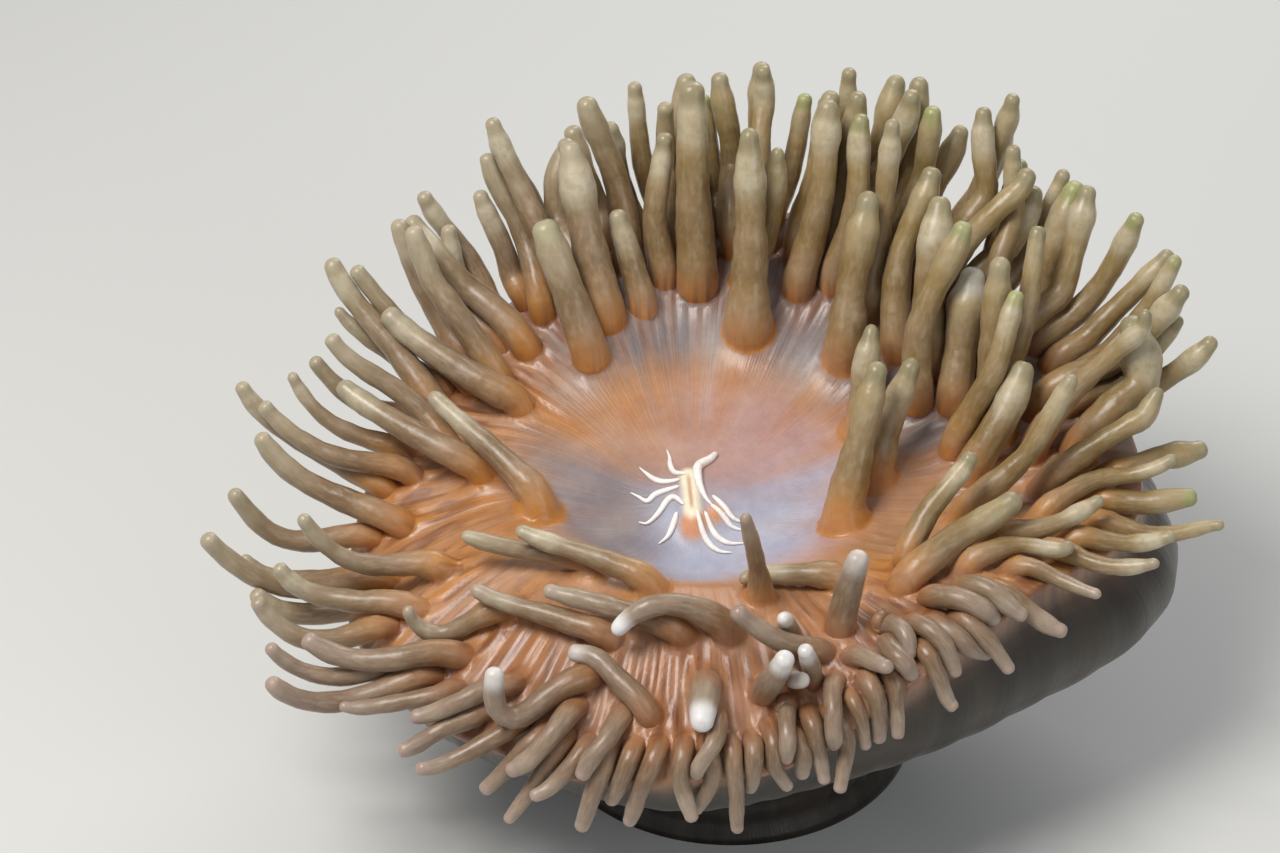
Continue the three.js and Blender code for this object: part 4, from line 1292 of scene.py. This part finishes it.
class Flesh(Paint):
    """The skin's one flesh: disc, tentacles and column, told apart by the skin's facts."""

    def __init__(self):
        super().__init__("anemone_flesh")
        self.tent, self.along, self.tip = (self.fact(name) for name in ("tent", "along", "tip"))
        self.near, self.out = self.fact("near"), self.fact("outness")
        # Share of the painted bluish sheen.
        self.painted_sheen = self.fact("painted_sheen")
        self.cloud = self.noise(90.0, detail=3.0)
        self.mottle = self.noise(420.0, detail=3.0, roughness=0.6)
        spoke = self.fact("spoke", "Vector")
        drawn = add_node(self.tree, "ShaderNodeVectorMath", {0: spoke, 1: (1.0, 1.0, 0.16)},
                         operation="MULTIPLY").outputs[0]
        self.fine_lines = self.noise(75.0, drawn)
        self.broad_lines = self.noise(7.0, spoke, detail=3.0)
        self.pleat_lines = self.noise(26.0, spoke, detail=1.0)
        place = add_node(self.tree, "ShaderNodeSeparateXYZ", {"Vector": self.place}).outputs
        self.flank, self.fore = place["X"], place["Y"]
        # Painted shade: a share that rises towards the -Y front, where disc and tentacles are
        # darkened.
        self.apron = self.ramp(self.fore, -0.022, -0.05)

    def disc(self):
        """Rosy over salmon, with warm streams, a painted bluish sheen, radial lines, and painted
        shade that browns the front apron.
        """
        out, flank, fore = self.out, self.flank, self.fore
        rosy = self.product(
            self.ramp(self.cloud, 0.3, 0.65, 0.75, 1.0),
            self.ramp(flank, -0.03, 0.02, 0.15, 0.95),
            self.ramp(out, 0.36, 0.52, 1.0, 0.1),
        )
        warm = self.product(
            self.ramp(self.broad_lines, 0.35, 0.68),
            self.ramp(out, 0.1, 0.6, 0.1, 0.6),
            self.ramp(flank, 0.01, -0.03, 0.25, 1.0),
        )
        ochre = self.product(
            self.ramp(out, 0.4, 0.54),
            self.ramp(fore, 0.015, -0.01),
            self.ramp(flank, 0.005, 0.03, 0.0, 0.7),
        )
        # The painted sheen's tint: lavender, greyer on the -X side, blue-grey out by the margin.
        painted_sheen_tint = self.blend(self.ramp(flank, -0.008, -0.022), SHEEN_PAINT_LAVENDER, SHEEN_PAINT_GREY)
        painted_sheen_tint = self.blend(self.ramp(out, 0.42, 0.52), painted_sheen_tint, SHEEN_PAINT_BLUE_GREY)
        # The warm streams fade under the painted sheen.
        stream_under_sheen = self.do("SUBTRACT", 0.95, self.product(self.painted_sheen, 0.7))
        stream = self.product(self.do("MAXIMUM", self.near, self.fact("stream")), stream_under_sheen)
        lines = self.product(self.ramp(self.fine_lines, 0.48, 0.7),
                             self.ramp(out, 0.08, 0.3, 0.05, 0.14))
        folds = self.product(self.ramp(self.pleat_lines, 0.45, 0.62),
                             self.ramp(out, 0.5, 0.8, 0.0, 0.75))
        base = SALMON
        for share, over in (
            (rosy, PINK),
            (warm, ORANGE),
            (ochre, OCHRE),
            # Painted bluish sheen.
            (self.product(self.painted_sheen, 0.92), painted_sheen_tint),
            (stream, ORANGE),
            (lines, STREAK),
            # Painted shade browns the front apron.
            (self.product(self.apron, 0.6), APRON_SHADE_BROWN),
            (folds, PLEAT_BROWN),
            (self.ramp(self.fact("lobe"), 0.1, 0.8), LOBE_ORANGE),
            (self.ramp(self.fact("lip"), 0.3, 0.9), LIP_CREAM),
            (self.fact("mouth"), GULLET),
        ):
            base = self.blend(share, base, over)
        return base

    def tentacle(self):
        """Orange or olive at the root, olive to tan along the shaft, pale below a darker nub,
        darker and mauve at the front as painted shade, and a painted white highlight on some tips.
        """
        own = add_node(self.tree, "ShaderNodeSeparateXYZ",
                       {"Vector": self.fact("chance", "Vector")}).outputs
        apron, tip = self.apron, self.tip
        # Greyer on the -X side, and painted shade over the -Y front.
        greyer_left_and_shaded_front = self.do("MAXIMUM", self.ramp(self.flank, 0.01, -0.05, 0.0, 0.65),
                        self.product(apron, 0.9))
        middle = self.blend(greyer_left_and_shaded_front, OLIVE, MAUVE)
        end = self.blend(greyer_left_and_shaded_front, TAN, ASH)
        # Painted shade: mauve-grey ends at the front.
        end = self.blend(self.product(apron, 0.8), end, SHADED_ASH_MAUVE)
        # Brown roots in random patches, and as painted shade at the front.
        brown = self.do("MAXIMUM", self.ramp(self.cloud, 0.4, 0.65, 0.0, 0.7), apron)
        root = self.blend(brown, ROOT_ORANGE, ROOT_BROWN)
        rear = self.product(
            self.ramp(self.fore, -0.005, 0.03),
            self.ramp(self.flank, -0.04, -0.01),
            self.ramp(self.out, 0.4, 0.55, 0.0, 0.75),
        )
        root = self.blend(rear, root, ROOT_OLIVE)
        pale = self.product(
            self.ramp(tip, 5.2, 3.0),
            self.ramp(tip, 0.9, 1.9),
            self.ramp(self.mottle, 0.3, 0.62, 0.35, 1.0),
            self.ramp(own["X"], 0.1, 0.9, 0.15, 0.7),
            # The pale band fades under the painted shade at the front.
            self.ramp(apron, 0.0, 1.0, 1.0, 0.3),
        )
        nub = self.blend(self.ramp(own["Y"], 0.86, 0.98), NUB_OLIVE, NUB_GREEN)
        nub = self.blend(greyer_left_and_shaded_front, nub, NUB_PALE)
        # Painted shade: mauve nubs at the front.
        nub = self.blend(apron, nub, SHADED_NUB_MAUVE)
        streaks = self.noise(3.5, self.fact("turn", "Vector"))
        base = root
        for share, over in (
            (self.ramp(self.along, 0.0, 0.42), middle),
            (self.ramp(self.along, 0.4, 0.9), end),
            (self.ramp(streaks, 0.4, 0.75, 0.0, 0.16), CREAM),
            (pale, CREAM),
            (self.ramp(tip, 1.9, 0.8, 0.0, 0.8), nub),
            # Painted white highlight on some tips.
            (self.product(own["Z"], self.ramp(tip, 2.7, 1.1)), TIP_HIGHLIGHT_WHITE),
        ):
            base = self.blend(share, base, over)
        return base

    def relief(self):
        """A fine wet grain all over, radial ridges on the disc and soft lumps on the tentacles."""
        grain = self.noise(1500.0)
        lift = self.do("ADD", self.product(self.mottle, 0.6), self.product(grain, 0.4))
        ridges = self.product(self.fine_lines, self.do("SUBTRACT", 1.0, self.tent))
        lumps = self.product(self.noise(230.0), self.tent)
        normal = self.bump(lift, 0.0002, 0.5)
        normal = self.bump(ridges, 0.0005, 0.28, normal)
        return self.bump(lumps, 0.0012, 0.4, normal)


def flesh():
    """Damp, faintly see-through flesh over the whole skin, with the column darkened as painted
    shade.
    """
    paint = Flesh()
    base = paint.blend(paint.tent, paint.disc(), paint.tentacle())
    base = paint.blend(paint.ramp(paint.cloud, 0.35, 0.7, 0.0, 0.10), base, CLOUD_PALE)
    base = paint.blend(paint.ramp(paint.mottle, 0.35, 0.65, 0.0, 0.10), base, MOTTLE_BROWN)
    # The column, darkened as painted shade, with paler stripes.
    side = paint.blend(paint.ramp(paint.broad_lines, 0.4, 0.62), SHADED_COLUMN_DARK, SHADED_COLUMN_PALE)
    base = paint.blend(paint.fact("stalk"), base, side)
    return paint.finish(
        base, paint.relief(),
        Roughness=paint.ramp(paint.cloud, 0.3, 0.7, 0.36, 0.5),
        Subsurface_Weight=0.4,
        Subsurface_Radius=(1.0, 0.55, 0.3),
        Subsurface_Scale=0.0024,
        Specular_IOR_Level=0.5,
        Coat_Weight=0.2,
        Coat_Roughness=0.24,
        Sheen_Weight=0.15,
        Sheen_Roughness=0.3,
        Sheen_Tint=(1.0, 0.94, 0.86, 1.0),
    )


def rib_flesh():
    """Pale, smooth flesh for the mouth's ribs."""
    paint = Paint("mouth_rib_flesh")
    mottle = paint.noise(900.0)
    base = paint.blend(paint.ramp(mottle, 0.3, 0.7), RIB_WHITE, RIB_ROSY)
    normal = paint.bump(mottle, 0.0001, 0.4)
    return paint.finish(base, normal, Roughness=0.4, Subsurface_Weight=0.2,
                        Subsurface_Radius=(1.0, 0.6, 0.4), Subsurface_Scale=0.001,
                        Coat_Weight=0.3, Coat_Roughness=0.2)


# ------------------------------------------------------------------ ribs of the mouth

# Each white rib as a line of places round the mouth, and its full radius. The first is the ridge
# along the closed lips.
RIBS = [
    ([(5.2, 12.0), (3.8, 9.9), (1.6, 7.8), (1.1, 5.8), (1.5, 2.9), (2.7, 0.2), (4.0, -1.2)], 1.0),
    ([(-1.2, 4.9), (-3.4, 6.2), (-4.3, 8.7), (-4.4, 10.7), (-5.0, 13.2)], 0.6),
    ([(-2.2, 4.0), (-5.6, 4.5), (-7.6, 5.6), (-9.2, 7.4), (-10.6, 9.1)], 0.6),
    ([(-2.4, 2.6), (-5.2, 2.4), (-7.4, 1.9), (-9.0, 0.8), (-10.8, 2.1), (-12.4, 3.2)], 0.6),
    ([(-1.6, -1.3), (-3.4, 0.5), (-4.8, 0.3), (-6.8, -2.1), (-9.0, -3.7), (-10.8, -3.3)], 0.65),
    ([(-3.0, -2.3), (-3.6, -4.1), (-4.8, -6.4), (-6.8, -8.0)], 0.65),
    ([(0.8, -2.3), (2.0, -5.8), (3.6, -8.2), (5.6, -9.5), (8.0, -9.9)], 0.65),
    ([(2.4, -2.3), (4.0, -5.4), (5.6, -7.0), (7.6, -7.8), (10.6, -7.8)], 0.65),
    ([(3.6, -1.0), (6.2, -2.9), (8.0, -4.5), (10.6, -5.2)], 0.6),
    ([(4.0, 0.9), (6.2, -1.0), (8.4, -3.0), (10.8, -3.6)], 0.6),
]
RIB_STEPS = 24
RIB_SIDES = 8
RIB_LIFT = 0.3
RIB_SLIM = 0.45
RIB_FULL = 1.1
RIB_SWELLS = (0.12, 0.92)


def grow_ribs(disc):
    """A chain along each rib, lifted a little off the disc and fullest at its middle."""
    chains = []
    for line, girth in RIBS:
        line = np.array(line)
        length = np.linalg.norm(np.diff(line, axis=0), axis=1).sum()
        share = np.linspace(0, 1, RIB_STEPS + 1)
        plan = MOUTH[:2] + on_path(line, share * length, length)
        full = np.sin(math.pi * np.linspace(*RIB_SWELLS, RIB_STEPS + 1)) ** 2
        taper = girth * (RIB_SLIM + RIB_FULL * full) / (RIB_SLIM + RIB_FULL)
        chains.append({
            "points": disc.at(plan)[0] + [0, 0, RIB_LIFT],
            "girth": taper,
            "root": 0.0,
            "height": share * length / girth * 3,
            "fall": -ROOT_FALL,
            "along": share,
            "tip": (1 - share) * length / girth,
            "bulb": 0.0,
            "nub": 0.0,
        })
    return chains


# ------------------------------------------------------------------ the model

def sweep_piece(name, chains, sides, material):
    """Closed tubes swept round their chains, as one piece."""
    points, quads, triangles = [], [], []
    count = 0
    for chain, tube in zip(chains, swept_tubes(name, chains, sides, material)):
        n = len(tube)
        points += [tube.reshape(-1, 3), tube[0].mean(0)[None], tube[-1].mean(0)[None]]
        loops = [count + k * sides + np.arange(sides) for k in range(n)]
        quads += [bands(upper, lower) for upper, lower in zip(loops, loops[1:])]
        for loop, pole in ((loops[0], count + n * sides), (loops[-1], count + n * sides + 1)):
            triangles.append(np.stack([loop, np.roll(loop, -1), np.full(sides, pole)], -1))
        count += n * sides + 2
    shapes = [np.concatenate(triangles).astype(int), np.concatenate(quads).astype(int)]
    return solid_mesh(name, np.concatenate(points) * MM, shapes, {}, material)


# Bulb and nub of a plain tip, their spread, and what a clubbed tip adds.
BULB_USUAL, BULB_SPREAD, BULB_CLUBBED = 0.04, 0.08, 0.16
NUB_USUAL, NUB_SPREAD, NUB_CLUBBED = 0.06, 0.05, 0.07

# Posed tentacles, by cycle and number, that end in a fuller bulb, and those with a painted white
# highlight at the tip.
BULBOUS = {(2, 2): 1.4, (2, 1): 0.5, (2, 0): 0.9, (1, 11): 0.9, (1, 2): 0.4, (1, 3): 0.4}
HIGHLIGHTED_TIPS = {
    (1, 5): 1.0, (2, 8): 0.8, (2, 7): 0.7, (2, 3): 0.6, (2, 6): 0.4, (2, 0): 0.5,
    (6, 0): 0.3, (6, 1): 0.6, (6, 3): 0.4, (6, 4): 0.7,
}



def finish_tips(tentacles):
    """Swells each tentacle's end into its bulb, narrows it to its nub, and gives some a painted
    white highlight at the tip.
    """
    for t in tentacles:
        chance = t["chance"]
        club = club_of(t["angle"]) / CLUB + BULBOUS.get(t.get("pose"), 0)
        t["frost"] = HIGHLIGHTED_TIPS.get(t.get("pose"), 0)
        clubbed = BULB_CLUBBED * club * (1 + chance[6])
        t["bulb"] = BULB_USUAL + BULB_SPREAD * chance[6] + clubbed
        t["nub"] = NUB_USUAL + NUB_SPREAD * chance[7] + NUB_CLUBBED * club


tentacles = sprout()
seat(tentacles)
settle(tentacles)
finish_tips(tentacles)

skin_material = flesh()
points, shapes, facts = grow_skin(tentacles, skin_material)
skin = solid_mesh("anemone_skin", points, shapes, facts, skin_material)
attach(skin, "root")
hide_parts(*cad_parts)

ribs = sweep_piece("mouth_ribs", grow_ribs(Disc(tentacles)), RIB_SIDES, rib_flesh())
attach(ribs, "root")


# ------------------------------------------------------------------ floor, light and camera

ELEVATION = math.radians(35)
DISTANCE = 0.711
AIM_SIDE = -0.0104
AIM_RISE = 0.0147
LENS = 100
SENSOR = 36
FLOOR_SIZE = 4
FLOOR_PALE = (0.62, 0.62, 0.60, 1)
ROOM_PALE = (0.95, 0.97, 1.0, 1)
ROOM_ON_MODEL = 0.3
ROOM_IN_VIEW = 0.8

# Each lamp's place, width, power and tint.
LAMPS = {
    "key": ((-0.3, -0.22, 0.74), 0.35, 5.4, (1.0, 0.97, 0.93)),
    "fill": ((0.5, -0.6, 0.45), 0.5, 1.2, (0.9, 0.95, 1.0)),
    "back": ((0.2, 0.6, 0.5), 0.4, 2.0, (1, 1, 1)),
}


def add_floor():
    """A pale floor under the foot."""
    bpy.ops.mesh.primitive_plane_add(size=FLOOR_SIZE)
    floor = bpy.context.object
    floor.name = "floor"
    material = bpy.data.materials.new("floor_pale")
    material.use_nodes = True
    shader = material.node_tree.nodes["Principled BSDF"]
    shader.inputs["Base Color"].default_value = FLOOR_PALE
    shader.inputs["Roughness"].default_value = 0.9
    floor.data.materials.append(material)


def add_lamp(name, place, size, power, tint):
    """A round soft lamp aimed at the mouth."""
    light = bpy.data.lights.new(name, "AREA")
    light.shape = "DISK"
    light.size = size
    light.energy = power
    light.color = tint
    lamp = bpy.data.objects.new(name, light)
    lamp.location = place
    toward = Vector(MOUTH * MM) - Vector(place)
    lamp.rotation_euler = toward.to_track_quat("-Z", "Y").to_euler()
    bpy.context.scene.collection.objects.link(lamp)


def add_room():
    """A pale room, brighter where it is looked at than where it lights the model."""
    world = bpy.data.worlds.new("studio")
    bpy.context.scene.world = world
    world.use_nodes = True
    tree = world.node_tree
    background = tree.nodes["Background"]
    rays = add_node(tree, "ShaderNodeLightPath").outputs
    seen = calculate(tree, "MAXIMUM", rays["Is Camera Ray"], rays["Is Transmission Ray"])
    strength = add_node(tree, "ShaderNodeMapRange",
                        {"Value": seen, "To Min": ROOM_ON_MODEL, "To Max": ROOM_IN_VIEW})
    tree.links.new(strength.outputs["Result"], background.inputs["Strength"])
    background.inputs["Color"].default_value = ROOM_PALE


def add_camera():
    """Looks down at the mouth from the -Y side."""
    data = bpy.data.cameras.new("camera")
    data.lens = LENS
    data.sensor_width = SENSOR
    data.clip_start = 0.01
    camera = bpy.data.objects.new("camera", data)
    ahead = Vector((0, math.cos(ELEVATION), -math.sin(ELEVATION)))
    upward = Vector((0, math.sin(ELEVATION), math.cos(ELEVATION)))
    target = Vector(MOUTH * MM) + Vector((AIM_SIDE, 0, 0)) + AIM_RISE * upward
    camera.location = target - DISTANCE * ahead
    camera.rotation_euler = ahead.to_track_quat("-Z", "Y").to_euler()
    bpy.context.scene.collection.objects.link(camera)
    bpy.context.scene.camera = camera


add_floor()
for name, given in LAMPS.items():
    add_lamp(name, *given)
add_room()
add_camera()
bpy.context.scene.view_settings.view_transform = "Standard"
